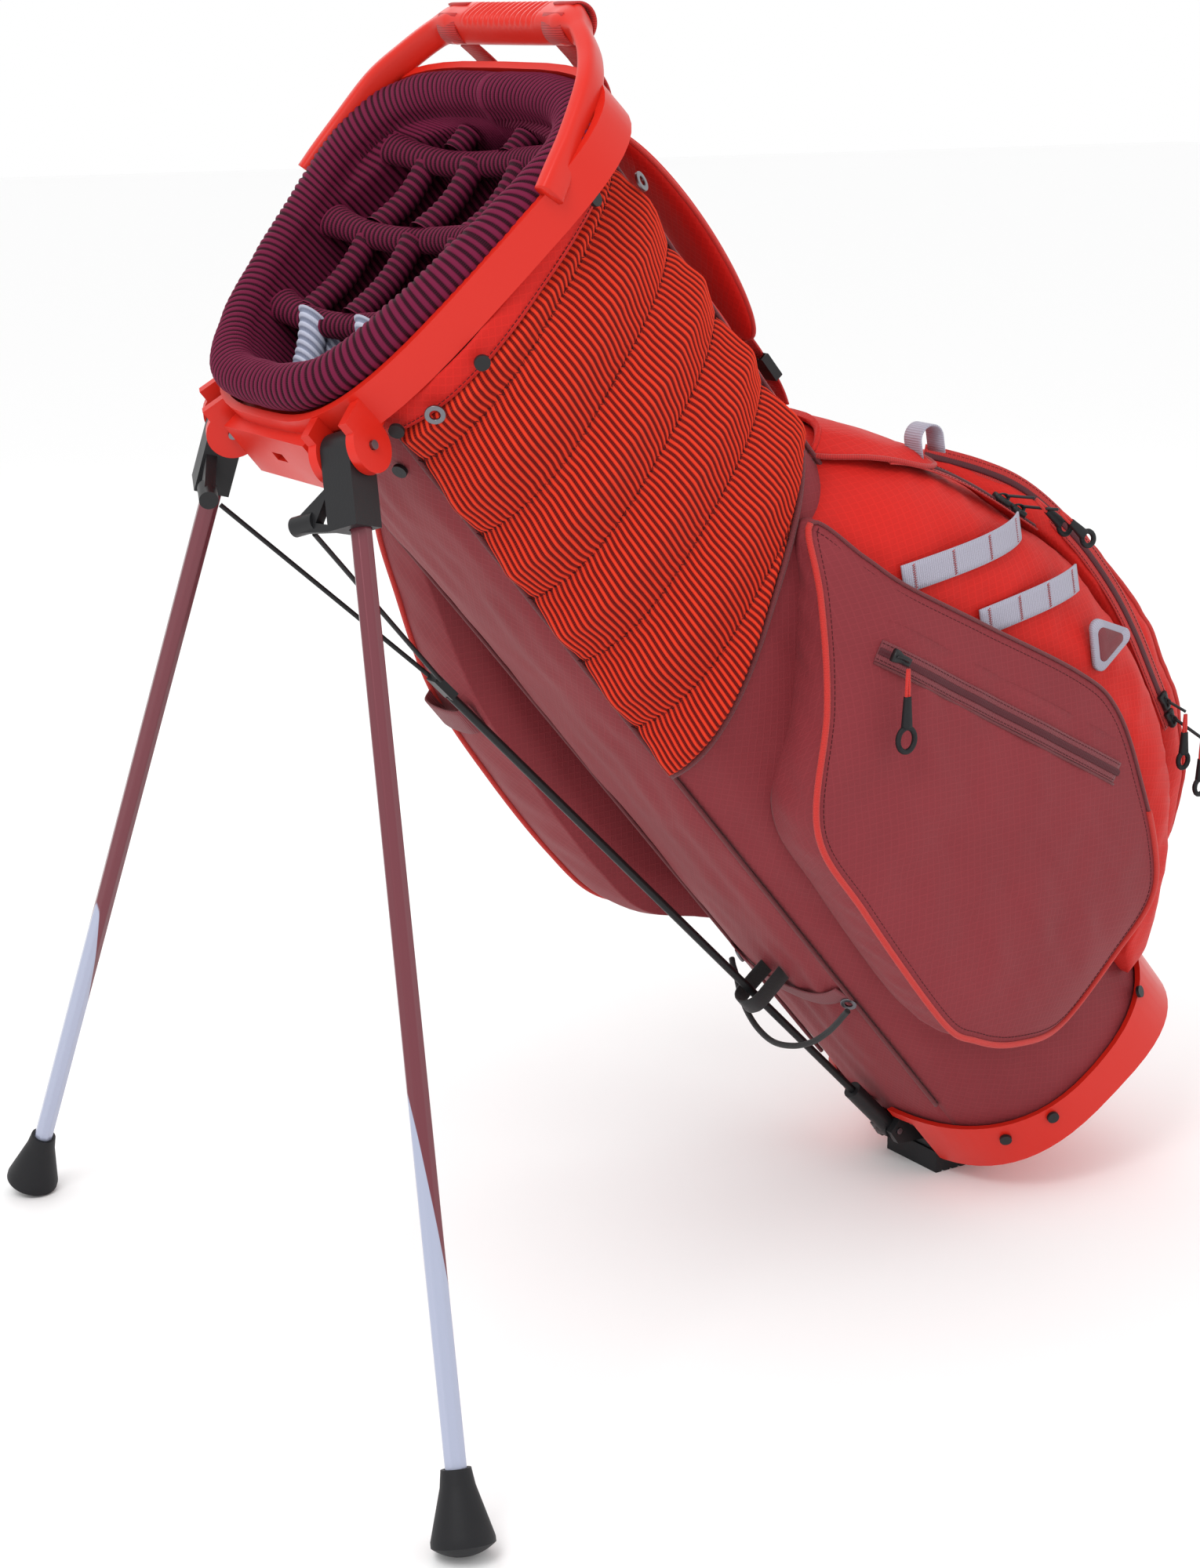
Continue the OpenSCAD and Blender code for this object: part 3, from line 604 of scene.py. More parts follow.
@dataclass(frozen=True)
class Metal(Finish):
    """Bare or plated metal with a clear highlight."""

    name: str
    colour: str
    roughness: float = 0.22

    def build(self, tree: bpy.types.NodeTree, shader: bpy.types.Node) -> None:
        """One even metal, its highlight spread by the roughness.

        Args:
            tree: the material's nodes.
            shader: its principled shader.
        """
        shader.inputs["Base Color"].default_value = linear(self.colour)
        shader.inputs["Metallic"].default_value = 1.0
        shader.inputs["Roughness"].default_value = self.roughness


@dataclass(frozen=True)
class TwoToneTube(Finish):
    """Powder-coated tube that changes colour along a long slanting line."""

    name: str
    upper: str
    lower: str
    start: tuple[float, float, float]
    along: tuple[float, float, float]
    across: tuple[float, float, float]
    change_m: float

    def build(self, tree: bpy.types.NodeTree, shader: bpy.types.Node) -> None:
        """Two colours parted by a slanting line, under a thin clear coat.

        Args:
            tree: the material's nodes.
            shader: its principled shader.
        """
        place = add_node(tree, "TexCoord")
        here = add_node(tree, "VectorMath", {0: place.outputs["Object"], 1: self.start}, operation="SUBTRACT")
        down = add_node(tree, "VectorMath", {0: here.outputs[0], 1: self.along}, operation="DOT_PRODUCT")
        side = add_node(tree, "VectorMath", {0: here.outputs[0], 1: self.across}, operation="DOT_PRODUCT")
        line = add_node(tree, "Math", {0: side.outputs["Value"], 1: 9.0, 2: down.outputs["Value"]},
                        operation="MULTIPLY_ADD")
        fac = add_node(tree, "MapRange", {"Value": line.outputs[0], "From Min": self.change_m - 0.0015,
                                          "From Max": self.change_m + 0.0015})
        mix = add_node(tree, "Mix", {"Factor": fac.outputs[0]}, data_type="RGBA")
        mix.inputs[6].default_value = linear(self.upper)
        mix.inputs[7].default_value = linear(self.lower)
        tree.links.new(mix.outputs[2], shader.inputs["Base Color"])
        shader.inputs["Metallic"].default_value = 0.35
        shader.inputs["Roughness"].default_value = 0.3
        shader.inputs["Coat Weight"].default_value = 0.4
        shader.inputs["Coat Roughness"].default_value = 0.12


class Stuff(Enum):
    """The finishes, by what they really are."""

    # Collar, cup and handle: glossy nylon with a clear soft highlight.
    MOULDED_RED = Moulding("moulded_nylon_red", "#CC2518", 0.33, glow=0.0)
    # Brackets, sockets and sliders: satin black with a fine tool grain.
    BLACK_NYLON = Moulding("moulded_nylon_black", "#1E1E20", 0.42, grain=0.25)
    # Feet and pull rings: dull, with a coarse grain that kills the gloss.
    RUBBER = Moulding("moulded_rubber", "#17171A", 0.58, grain=0.35, grain_mm=1.2)
    # Pockets and spine: bright cloth, its grid catching light on the folds; the grid's lines are also painted
    # lighter, a painted highlight.
    RED_CLOTH = Ripstop("ripstop_red", "#C2211B", sheen=0.12)
    # Panels and side pockets: dusty cloth with a faint diamond grid, its lines painted lighter as a
    # highlight.
    MAROON_CLOTH = Ripstop("ripstop_maroon", "#803036", sheen=0.12)
    # Hip pad: red ridges over near-black painted shade in the gaps, which read as fine lines.
    RED_RIBS = RibbedKnit("ribbed_mesh_red", "#D93820", "#56070B")
    # Mouth roll and dividers: matt ridges with soft dark grooves, painted shade; both colours are also kept
    # dark as painted shade for the inside of the mouth.
    PLUM_RIBS = RibbedKnit("ribbed_knit_plum", "#6A1838", "#1C030D")
    # First row of dividers: pale, so they stand out in the mouth; their darker grooves are painted shade.
    GREY_RIBS = RibbedKnit("ribbed_knit_grey", "#BEC2D4", "#787E94")
    # Grip wraps and shoulder straps: dry, ribbed and even.
    RED_WEBBING = Webbing("webbing_red", "#B81A17")
    # Lash straps, tab and badge rim: pale accents on red.
    GREY_WEBBING = Webbing("webbing_grey", "#A9A6B6")
    # Zip tapes and loops: lie quietly on the cloth.
    MAROON_WEBBING = Webbing("webbing_maroon", "#7A2C34")
    # Edges of the pockets: a bright line that draws their outline.
    PIPING_RED = Webbing("piping_red", "#C8241B", 1.0)
    # Body seams: a slight dark ridge.
    PIPING_MAROON = Webbing("piping_maroon", "#6E2229", 1.0)
    # Nylon coil: small dark teeth with a dull gleam.
    ZIP_COIL = Moulding("zip_coil_maroon", "#4E1A22", 0.5, grain=0.3)
    # Sewing thread: matt dark dashes.
    THREAD_DARK = Moulding("thread_dark", "#3A0A12", 0.8, grain=0.3)
    # Pull cords: a thin bright sheath.
    CORD_RED = Webbing("cord_sheath_red", "#CE2219", 1.0)
    # Bungee and rod keeper: black with a braided look.
    CORD_BLACK = Webbing("cord_sheath_black", "#161618", 1.0)
    # Rings and eyelets: grey plate with a small sharp glint.
    STEEL = Metal("nickel_plate", "#77777C", 0.3)
    # Stand wires and push rod: black coating over steel, so no metal shows.
    WIRE = Moulding("coated_wire_black", "#141416", 0.4)


# ---------- mesh makers ----------


def mesh_object(name: str, verts: Points, faces: list, stuff: Stuff, uv: Points | None = None,
                relief: Points | None = None) -> bpy.types.Object:
    """Makes a smooth-shaded mesh from bag-frame points.

    Args:
        name: the object's name.
        verts: array of (n, 3) in bag millimetres.
        faces: corner indices of each face.
        stuff: its finish.
        uv: a cloth coordinate in metres for each vertex.
        relief: 0..1 for each vertex, for a ribbed finish that paints shade where it is low.

    Returns:
        The object, in the scene.
    """
    mesh = bpy.data.meshes.new(name)
    mesh.from_pydata(lean_points(verts).tolist(), [], faces)
    mesh.materials.append(stuff.value.material())
    mesh.polygons.foreach_set("use_smooth", [True] * len(mesh.polygons))
    if uv is not None:
        layer = mesh.uv_layers.new(name="cloth")
        corner = np.zeros(len(mesh.loops), dtype=np.int32)
        mesh.loops.foreach_get("vertex_index", corner)
        layer.data.foreach_set("uv", np.asarray(uv, np.float32)[corner].ravel())
    if relief is not None:
        held = mesh.attributes.new("relief", "FLOAT", "POINT")
        held.data.foreach_set("value", np.asarray(relief, np.float32).ravel())
    mesh.validate()
    mesh.update()
    made = bpy.data.objects.new(name, mesh)
    bpy.context.scene.collection.objects.link(made)
    return made


def grid_faces(rows: int, cols: int, wrap_rows: bool = False, wrap_cols: bool = False) -> list:
    """Quads over a grid of rows x cols vertices.

    Args:
        rows: vertices down.
        cols: vertices across.
        wrap_rows: whether the last row joins the first.
        wrap_cols: whether the last column joins the first.

    Returns:
        Four corner indices for each face.
    """
    r = np.arange(rows if wrap_rows else rows - 1)[:, None]
    c = np.arange(cols if wrap_cols else cols - 1)[None, :]
    r2, c2 = (r + 1) % rows, (c + 1) % cols
    quads = np.stack(np.broadcast_arrays(r * cols + c, r * cols + c2, r2 * cols + c2, r2 * cols + c), axis=-1)
    return quads.reshape(-1, 4).tolist()


def skin(name: str, points: Points, stuff: Stuff, wrap_rows: bool = False, wrap_cols: bool = False,
         relief: Points | None = None, caps: bool = False) -> bpy.types.Object:
    """Makes a surface from a grid of points, with its cloth coordinate in metres.

    Args:
        name: the object's name.
        points: array of (rows, cols, 3).
        stuff: its finish.
        wrap_rows: whether the last row joins the first.
        wrap_cols: whether the last column joins the first.
        relief: array of (rows, cols).
        caps: whether the first and last rows are filled in.

    Returns:
        The object.
    """
    rows, cols = points.shape[:2]
    mid_row, mid_col = points[rows // 2], points[:, cols // 2]
    u = np.broadcast_to(run_length(mid_row)[None, :], (rows, cols))
    v = np.broadcast_to(run_length(mid_col)[:, None], (rows, cols))
    faces = grid_faces(rows, cols, wrap_rows, wrap_cols)
    if caps:
        faces += [list(range(cols))[::-1], [(rows - 1) * cols + k for k in range(cols)]]
    uv = np.stack([u, v], axis=-1).reshape(-1, 2) / 1000.0
    return mesh_object(name, points.reshape(-1, 3), faces, stuff, uv,
                       None if relief is None else relief.reshape(-1))


def frames_along(path: Points, up: Points) -> tuple[Points, Points, Points]:
    """Directions along a path: forward, and two across it that stay near up.

    Args:
        path: array of (n, 3).
        up: the direction to stay near.

    Returns:
        Forward, sideways and upward unit directions.
    """
    forward = np.gradient(path, axis=0)
    forward /= np.linalg.norm(forward, axis=1)[:, None]
    up = np.broadcast_to(np.asarray(up, float), path.shape)
    side = np.cross(forward, up)
    side /= np.maximum(np.linalg.norm(side, axis=1), 1e-6)[:, None]
    return forward, side, np.cross(side, forward)


def sweep(name: str, path: Points, half_side: Points, half_up: Points, up: Points, stuff: Stuff,
          round_off: float = 2.0, sides: int = 16, dent: Points | None = None) -> bpy.types.Object:
    """A closed bar, cord or strap swept along a path.

    Args:
        name: the object's name.
        path: array of (n, 3).
        half_side: half its size across up, a number or one per point.
        half_up: half its size along up.
        up: the direction that its section's height follows.
        stuff: its finish.
        round_off: 2 is an ellipse, more is boxier.
        sides: points round the section.
        dent: millimetres that the upper half sinks by at each point.

    Returns:
        The object.
    """
    n = len(path)
    _, side, rise = frames_along(path, up)
    a = 2 * math.pi * np.arange(sides) / sides
    cs, sn = signed_power(np.cos(a), 2 / round_off), signed_power(np.sin(a), 2 / round_off)
    hs = np.broadcast_to(np.asarray(half_side, float), (n,))[:, None]
    hu = np.broadcast_to(np.asarray(half_up, float), (n,))[:, None]
    lower = np.zeros((n, 1)) if dent is None else np.asarray(dent, float)[:, None]
    high = hu * sn[None] - lower * np.clip(sn[None], 0, 1)
    pts = path[:, None] + (hs * cs[None])[..., None] * side[:, None] + high[..., None] * rise[:, None]
    length = run_length(path)
    around = np.concatenate([[0], np.cumsum(np.linalg.norm(np.diff(pts[n // 2], axis=0), axis=1))])
    uv = np.stack(np.broadcast_arrays(length[:, None], around[None]), axis=-1).reshape(-1, 2) / 1000.0
    faces = grid_faces(n, sides, wrap_cols=True)
    faces += [list(range(sides))[::-1], [(n - 1) * sides + k for k in range(sides)]]
    return mesh_object(name, pts.reshape(-1, 3), faces, stuff, uv)


def closed_cord(name: str, path: Points, radius: float, stuff: Stuff, sides: int = 8) -> bpy.types.Object:
    """A round cord whose path returns to its start.

    Args:
        name: the object's name.
        path: array of (n, 3).
        radius: the cord's.
        stuff: its finish.
        sides: points round the section.

    Returns:
        The object.
    """
    ring = np.vstack([path[-1:], path, path[:1]])
    forward = (ring[2:] - ring[:-2])
    forward /= np.linalg.norm(forward, axis=1)[:, None]
    normal = np.cross(forward, np.array([0.31, 0.21, 0.93]))
    normal /= np.linalg.norm(normal, axis=1)[:, None]
    other = np.cross(forward, normal)
    a = 2 * math.pi * np.arange(sides) / sides
    pts = path[:, None] + radius * (np.cos(a)[None, :, None] * normal[:, None]
                                    + np.sin(a)[None, :, None] * other[:, None])
    length = run_length(path)
    uv = np.stack(np.broadcast_arrays(length[:, None], (a * radius)[None]), axis=-1).reshape(-1, 2) / 1000.0
    return mesh_object(name, pts.reshape(-1, 3), grid_faces(len(path), sides, True, True), stuff, uv)


def ribbon(name: str, path: Points, across: Points, half_width: float, thick: float, stuff: Stuff,
           crown: float = 0.0) -> bpy.types.Object:
    """A flat strap lying along a path.

    Args:
        name: the object's name.
        path: array of (n, 3), its underside's middle.
        across: unit direction across it, one or one per point.
        half_width: half its width.
        thick: its thickness.
        stuff: its finish.
        crown: extra height in the middle.

    Returns:
        The object.
    """
    n = len(path)
    across = np.broadcast_to(np.asarray(across, float), path.shape)
    forward = np.gradient(path, axis=0)
    forward /= np.linalg.norm(forward, axis=1)[:, None]
    across = across - np.sum(across * forward, axis=1)[:, None] * forward
    across /= np.linalg.norm(across, axis=1)[:, None]
    out = np.cross(forward, across)
    v = np.array([-1, -0.97, -0.6, 0, 0.6, 0.97, 1, 0.97, 0, -0.97])
    top = np.array([0.5, 1, 1, 1, 1, 1, 0.5, 0, 0, 0])
    bulge = crown * (1 - v**2) * (top > 0.6)
    pts = (path[:, None] + (v * half_width)[None, :, None] * across[:, None]
           + (top * thick + bulge)[None, :, None] * out[:, None])
    length = run_length(path)
    uv = (np.stack(np.broadcast_arrays(length[:, None], (v * half_width)[None]), axis=-1)
          .reshape(-1, 2) / 1000.0)
    faces = grid_faces(n, len(v), wrap_cols=True)
    faces += [list(range(len(v)))[::-1], [(n - 1) * len(v) + k for k in range(len(v))]]
    return mesh_object(name, pts.reshape(-1, 3), faces, stuff, uv)


def join(name: str, parts: list) -> bpy.types.Object:
    """Joins mesh objects into one.

    Args:
        name: the joined object's name.
        parts: the objects, which are used up.

    Returns:
        The joined object.
    """
    if len(parts) > 1:
        with bpy.context.temp_override(active_object=parts[0], selected_editable_objects=parts,
                                       selected_objects=parts):
            bpy.ops.object.join()
    parts[0].name = name
    parts[0].data.name = name
    return parts[0]


def stitches(name: str, path: Points, out: Points, stuff: Stuff, zigzag: float = 0.0, pitch: float = 4.0,
             radius: float = 0.4) -> bpy.types.Object:
    """Thread laid along a path, as short runs or as a zigzag.

    Args:
        name: the object's name.
        path: array of (n, 3).
        out: unit direction away from the cloth at each point.
        stuff: its finish.
        zigzag: half the zigzag's width, or 0 for a straight seam of dashes.
        pitch: length of a stitch or of half a zigzag.
        radius: the thread's.

    Returns:
        The object.
    """
    s = run_length(path)
    out = np.broadcast_to(np.asarray(out, float), path.shape)
    count = max(2, int(s[-1] / pitch))
    at = np.linspace(0, s[-1], count + 1)
    p = np.stack([np.interp(at, s, path[:, k]) for k in range(3)], axis=1)
    o = np.stack([np.interp(at, s, out[:, k]) for k in range(3)], axis=1)
    o /= np.linalg.norm(o, axis=1)[:, None]
    forward = np.gradient(p, axis=0)
    side = np.cross(forward, o)
    side /= np.linalg.norm(side, axis=1)[:, None]
    curve = bpy.data.curves.new(name, "CURVE")
    curve.dimensions = "3D"
    curve.bevel_depth = radius / 1000.0
    curve.bevel_resolution = 1
    curve.use_fill_caps = True
    if zigzag:
        flip = np.where(np.arange(count + 1) % 2, 1.0, -1.0)[:, None]
        runs = [p + flip * zigzag * side]
    else:
        runs = [np.stack([p[i], p[i] + 0.68 * (p[i + 1] - p[i])]) for i in range(count)]
    for run in runs:
        strand = curve.splines.new("POLY")
        strand.points.add(len(run) - 1)
        world = lean_points(run)
        strand.points.foreach_set("co", np.hstack([world, np.ones((len(run), 1))]).ravel())
    curve.materials.append(stuff.value.material())
    made = bpy.data.objects.new(name, curve)
    bpy.context.scene.collection.objects.link(made)
    return made


def settle(obj: bpy.types.Object, body: str, *nodes: str, slot: str | None = None,
           padded: float | None = None) -> bpy.types.Object:
    """Gives a finished piece its body, and hides the CAD nodes that it replaces.

    Args:
        obj: the piece.
        body: the CAD body it rides on.
        nodes: CAD nodes it replaces.
        slot: the record's material slot of its finish; not used.
        padded: how full it is, for a padded piece; not used.

    Returns:
        The piece.
    """
    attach(obj, body)
    if nodes:
        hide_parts(*nodes)
    return obj


def thicken(obj: bpy.types.Object, thick_mm: float, offset: float = -1.0) -> None:
    """Gives an open surface a real thickness.

    Args:
        obj: the surface.
        thick_mm: its thickness.
        offset: -1 grows it inwards, 0 both ways.
    """
    solid = obj.modifiers.new("thickness", "SOLIDIFY")
    solid.thickness = thick_mm / 1000.0
    solid.offset = offset


# ---------- sub-assemblies ----------


@dataclass
class BodyPanels:
    """The four cloth panels between the cup and the collar, with the piping at their seams."""

    wrinkle_mm: float = 1.6
    step_mm: float = 6.0

    def panel(self, name: str, start: float, end: float, stuff: Stuff, low: float | None,
              seed: int) -> bpy.types.Object:
        """One panel.

        Args:
            name: its name.
            start: angle of its first edge, in degrees.
            end: angle of its last edge.
            stuff: its finish.
            low: height of its lower edge, or None to follow the cup's floor.
            seed: its own set of wrinkles.

        Returns:
            The panel.
        """
        angles = self.even_angles(start, end)
        share = np.linspace(0, 1, 130)[:, None]
        foot = Shell.point(angles, 0.0, 60.0)[:, 0]
        head = Shell.point(angles, 0.0, 800.0)[:, 0]
        z0 = (Shell.floor(foot) + 9.0 if low is None else np.full_like(foot, low))[None]
        z1 = (Shell.seam(head) - 0.5)[None]
        w = z0 * (1 - share) + z1 * share
        flat = Shell.point(angles[None], 0.0, w)
        edge = np.minimum(share, 1 - share) * 12
        side = np.minimum(np.linspace(0, 1, len(angles)), np.linspace(1, 0, len(angles)))[None] * 9
        calm = smooth_step(edge) * smooth_step(side)
        rise = self.wrinkle_mm * calm * (folds(flat, (90, 90, 210), seed) + 0.45
                                         * folds(flat, (34, 34, 120), seed + 9))
        return skin(name, Shell.point(angles[None], np.minimum(rise, 2.2) - 0.8, w), stuff)

    def even_angles(self, start: float, end: float) -> Points:
        """Angles that step evenly along the outline between two edges.

        Args:
            start: the first edge's angle.
            end: the last edge's angle.

        Returns:
            Angles in degrees.
        """
        fine = np.linspace(start, end, 2000)
        s = run_length(Shell.point(fine, 0.0, 500.0))
        return np.interp(np.linspace(0, s[-1], max(12, int(s[-1] / self.step_mm))), s, fine)

    def build(self) -> None:
        """Makes the panels and their piping."""
        plan = [("front_cloth", 152.0, 208.3, Stuff.MAROON_CLOTH, 54.0, "front_panel"),
                ("near_cloth", 208.3, 318.3, Stuff.MAROON_CLOTH, None, "near_panel"),
                ("far_cloth", 41.7, 152.0, Stuff.MAROON_CLOTH, None, "far_panel"),
                ("spine_cloth", -41.7, 41.7, Stuff.RED_CLOTH, None, "spine_panel")]
        for seed, (name, start, end, stuff, low, node) in enumerate(plan):
            made = self.panel(name, start, end, stuff, low, seed + 3)
            thicken(made, 1.4)
            settle(made, "bag", node, slot="red_fabric" if stuff is Stuff.RED_CLOTH else "maroon_fabric")
        for name, angle in (("front_piping_near", 208.3), ("front_piping_far", 151.8),
                            ("spine_piping_near", 318.2), ("spine_piping_far", 41.8)):
            w = np.linspace(98, Shell.seam(Shell.point(angle, 0, 800.0)[0]) - 1, 120)
            path = Shell.point(np.full_like(w, angle), 0.9, w)
            settle(sweep(name, path, 1.7, 1.7, (0, 0.1, 0.02), Stuff.PIPING_MAROON, sides=8), "bag",
                   slot="maroon_fabric")
        angles = np.linspace(153.5, 206.8, 30)
        band = Shell.point(angles, 0.8, 222 + 14 * np.linspace(-1, 1, 30) ** 2)
        settle(ribbon("keeper_seam", band, (0, 0, 1), 6.0, 1.2, Stuff.MAROON_WEBBING), "bag",
               slot="maroon_fabric")


@dataclass
class HipPad:
    """The padded pad of ribbed mesh that rides on the hip, sewn into sloping channels."""

    rib_mm: float = 4.1
    rows: int = 180
    channels: tuple[float, ...] = (773.0, 708.0, 649.0, 589.0, 524.0)
    slope: float = 0.27

    def outline(self) -> tuple[Points, Points, Points, Points]:
        """Angles across the pad, their X, and its lower and upper edge heights.

        Returns:
            Four arrays with one value for each column.
        """
        fine = np.linspace(209.0, 313.5, 4000)
        s = run_length(Shell.point(fine, 5.0, 700.0))
        cols = int(s[-1] / self.rib_mm * 9)
        angles = np.interp(np.linspace(0, s[-1], cols), s, fine)
        x = Shell.point(angles, 3.0, 700.0)[:, 0]
        return angles, x, 475.5 + 0.56 * x, Shell.seam(x) - 17.0

    def build(self) -> None:
        """Makes the ribbed pad, the binding above it and its stitching."""
        angles, x, low, high = self.outline()
        share = np.linspace(0, 1, self.rows)[:, None]
        w = low[None] * (1 - share) + high[None] * share
        along = run_length(Shell.point(angles, 5.0, 700.0))[None]
        line = w - self.slope * x[None]
        near_line = np.min(np.abs(line[..., None] - np.array(self.channels)), axis=-1)
        hem = np.minimum(np.minimum(w - low[None], high[None] - w),
                         np.minimum(along, along[0, -1] - along) * 1.2)
        puff = 0.9 + 9.4 * np.sqrt(np.clip(near_line / 28.0, 0, 1)) * (0.7 + 0.3
                                                                       * smooth_step(near_line / 30))
        rise = 0.7 + puff * smooth_step(hem / 9.0 + 0.1)
        base = Shell.point(angles[None], 0.0, w)
        rise += 0.7 * folds(base, (60, 60, 40), 31) * smooth_step(near_line / 12)
        drift = 1.1 * np.sin(w / 23.0 + along / 41.0) * smooth_step(1 - near_line / 10.0)
        wave = 0.5 + 0.5 * np.cos(2 * math.pi * (along + drift) / self.rib_mm)
        ridge = wave ** 0.8
        rise += (0.55 + 0.95 * smooth_step(near_line / 6.0)) * ridge * smooth_step(hem / 5.0)
        pad = skin("hip_pad_ribs", Shell.point(angles[None], rise, w), Stuff.RED_RIBS, relief=ridge)
        settle(pad, "bag", "hip_pad", slot="red_ribbed_knit", padded=0.5)
        self.binding(angles, x)
        for number, level in enumerate(self.channels):
            keep = (level + self.slope * x > low + 4) & (level + self.slope * x < high - 3)
            if keep.sum() < 40:
                continue
            path = Shell.point(angles[keep], 3.0, (level + self.slope * x)[keep])
            out = Shell.point(angles[keep], 4.0, (level + self.slope * x)[keep]) - path
            out /= np.linalg.norm(out, axis=1)[:, None]
            settle(stitches(f"channel_stitch_{number}", path, out, Stuff.THREAD_DARK, zigzag=2.2, pitch=2.7,
                            radius=0.42), "bag", slot="maroon_fabric")

    def binding(self, angles: Points, x: Points) -> None:
        """The smooth band of cloth under the collar, and the taped edges of the pad.

        Args:
            angles: the pad's columns.
            x: their X.
        """
        wide = np.linspace(206.5, 334.0, 90)
        wx = Shell.point(wide, 3.0, 800.0)[:, 0]
        share = np.linspace(0, 1, 9)[:, None]
        w = (Shell.seam(wx) - 18.5)[None] * (1 - share) + (Shell.seam(wx) - 0.4)[None] * share
        rise = 4.2 + 1.6 * np.sin(share * math.pi) ** 0.5 + 0.35 * folds(Shell.point(wide[None], 0, w),
                                                                         (40, 40, 30), 5)
        band = skin("collar_binding", Shell.point(wide[None], rise, w), Stuff.RED_CLOTH)
        thicken(band, 3.0)
        settle(band, "bag", slot="red_fabric")
        lower = Shell.point(angles, 2.4, 474.5 + 0.56 * x)
        settle(sweep("pad_lower_piping", lower[::6], 2.2, 2.2, (0, 0, 1), Stuff.PIPING_MAROON, sides=8),
               "bag", slot="maroon_fabric")
        w = np.linspace(474.5 + 0.56 * x[0], Shell.seam(x[0]) - 6, 80)
        front = Shell.point(np.full_like(w, angles[0] - 0.6), 2.0, w)
        settle(sweep("pad_front_piping", front, 1.9, 1.9, (0, 0.1, 0.02), Stuff.PIPING_MAROON, sides=8),
               "bag", slot="maroon_fabric")
        seam = Shell.point(wide, 6.4, Shell.seam(wx) - 15.0)
        out = seam - Shell.point(wide, 0.0, Shell.seam(wx) - 15.0)
        out /= np.linalg.norm(out, axis=1)[:, None]
        settle(stitches("binding_stitch", seam[2:-2] - 0.15 * out[2:-2], out[2:-2], Stuff.THREAD_DARK,
                        pitch=3.4, radius=0.28), "bag", slot="maroon_fabric")


@dataclass
class MouthPad:
    """The padded ribbed roll round the mouth and the lining that runs down from it."""

    rib_mm: float = 5.2
    roll_r: float = 13.2
    depth: float = 190.0

    def profile(self) -> Points:
        """Rows of (grown, up, share of lining) from under the lip, over the roll and down inside.

        Returns:
            Array of (rows, 3).
        """
        a = np.radians(np.linspace(-60, 188, 22))
        roll = [(-12.6 + self.roll_r * math.cos(t), 4.0 + self.roll_r * math.sin(t), 0.0) for t in a]
        steps = 0.5 + self.depth * np.linspace(0, 1, 26) ** 2
        wall = [(-26.4, -2.0 - d, float(smooth_step(d / 10.0))) for d in steps]
        return np.array(roll + wall)

    def build(self) -> None:
        """Makes the roll with its lining."""
        fine = np.linspace(0, 2 * math.pi, 6000, endpoint=False)
        s = run_length(Shell.mouth(fine, -15.0, 0.0))
        ribs = round(s[-1] / self.rib_mm)
        cols = ribs * 7
        t = np.interp(np.linspace(0, s[-1], cols, endpoint=False), s, fine)
        rows = self.profile()
        relief = np.broadcast_to(0.5 + 0.5 * np.cos(2 * math.pi * np.arange(cols) / 7)[None],
                                 (len(rows), cols)) ** 0.8
        pts = Shell.mouth(t[None], rows[:, 0:1], rows[:, 1:2])
        inner = Shell.point(np.degrees(t)[None], -11.0, pts[..., 2])
        pull = rows[:, 2:3][..., None]
        tight = np.minimum(np.abs(pts[..., 1:2]), np.abs(inner[..., 1:2])) * np.sign(pts[..., 1:2])
        back = np.minimum(pts[..., 0:1], inner[..., 0:1])
        front = np.maximum(back, -1.0)
        goal = np.concatenate([np.where(pts[..., 0:1] > 100, back, front), tight, pts[..., 2:3]], axis=-1)
        pts = pts * (1 - pull) + goal * pull
        normal = np.cross(np.gradient(pts, axis=1), np.gradient(pts, axis=0))
        normal /= np.maximum(np.linalg.norm(normal, axis=-1), 1e-6)[..., None]
        middle = Shell.mouth(t, -15.0, 0.0)[None]
        sign = np.sign(np.sum(normal[5] * (pts[5] - middle[0]), axis=-1))[None, :, None]
        swell = 0.5 * folds(pts, (50, 50, 40), 12)
        pts = pts + sign * normal * (1.25 * relief - 0.7 + swell)[..., None]
        made = skin("mouth_roll", pts, Stuff.PLUM_RIBS, wrap_cols=True, relief=relief)
        thicken(made, 1.2, 0.0)
        settle(made, "bag", "rim_pad", slot="ribbed_knit", padded=0.7)


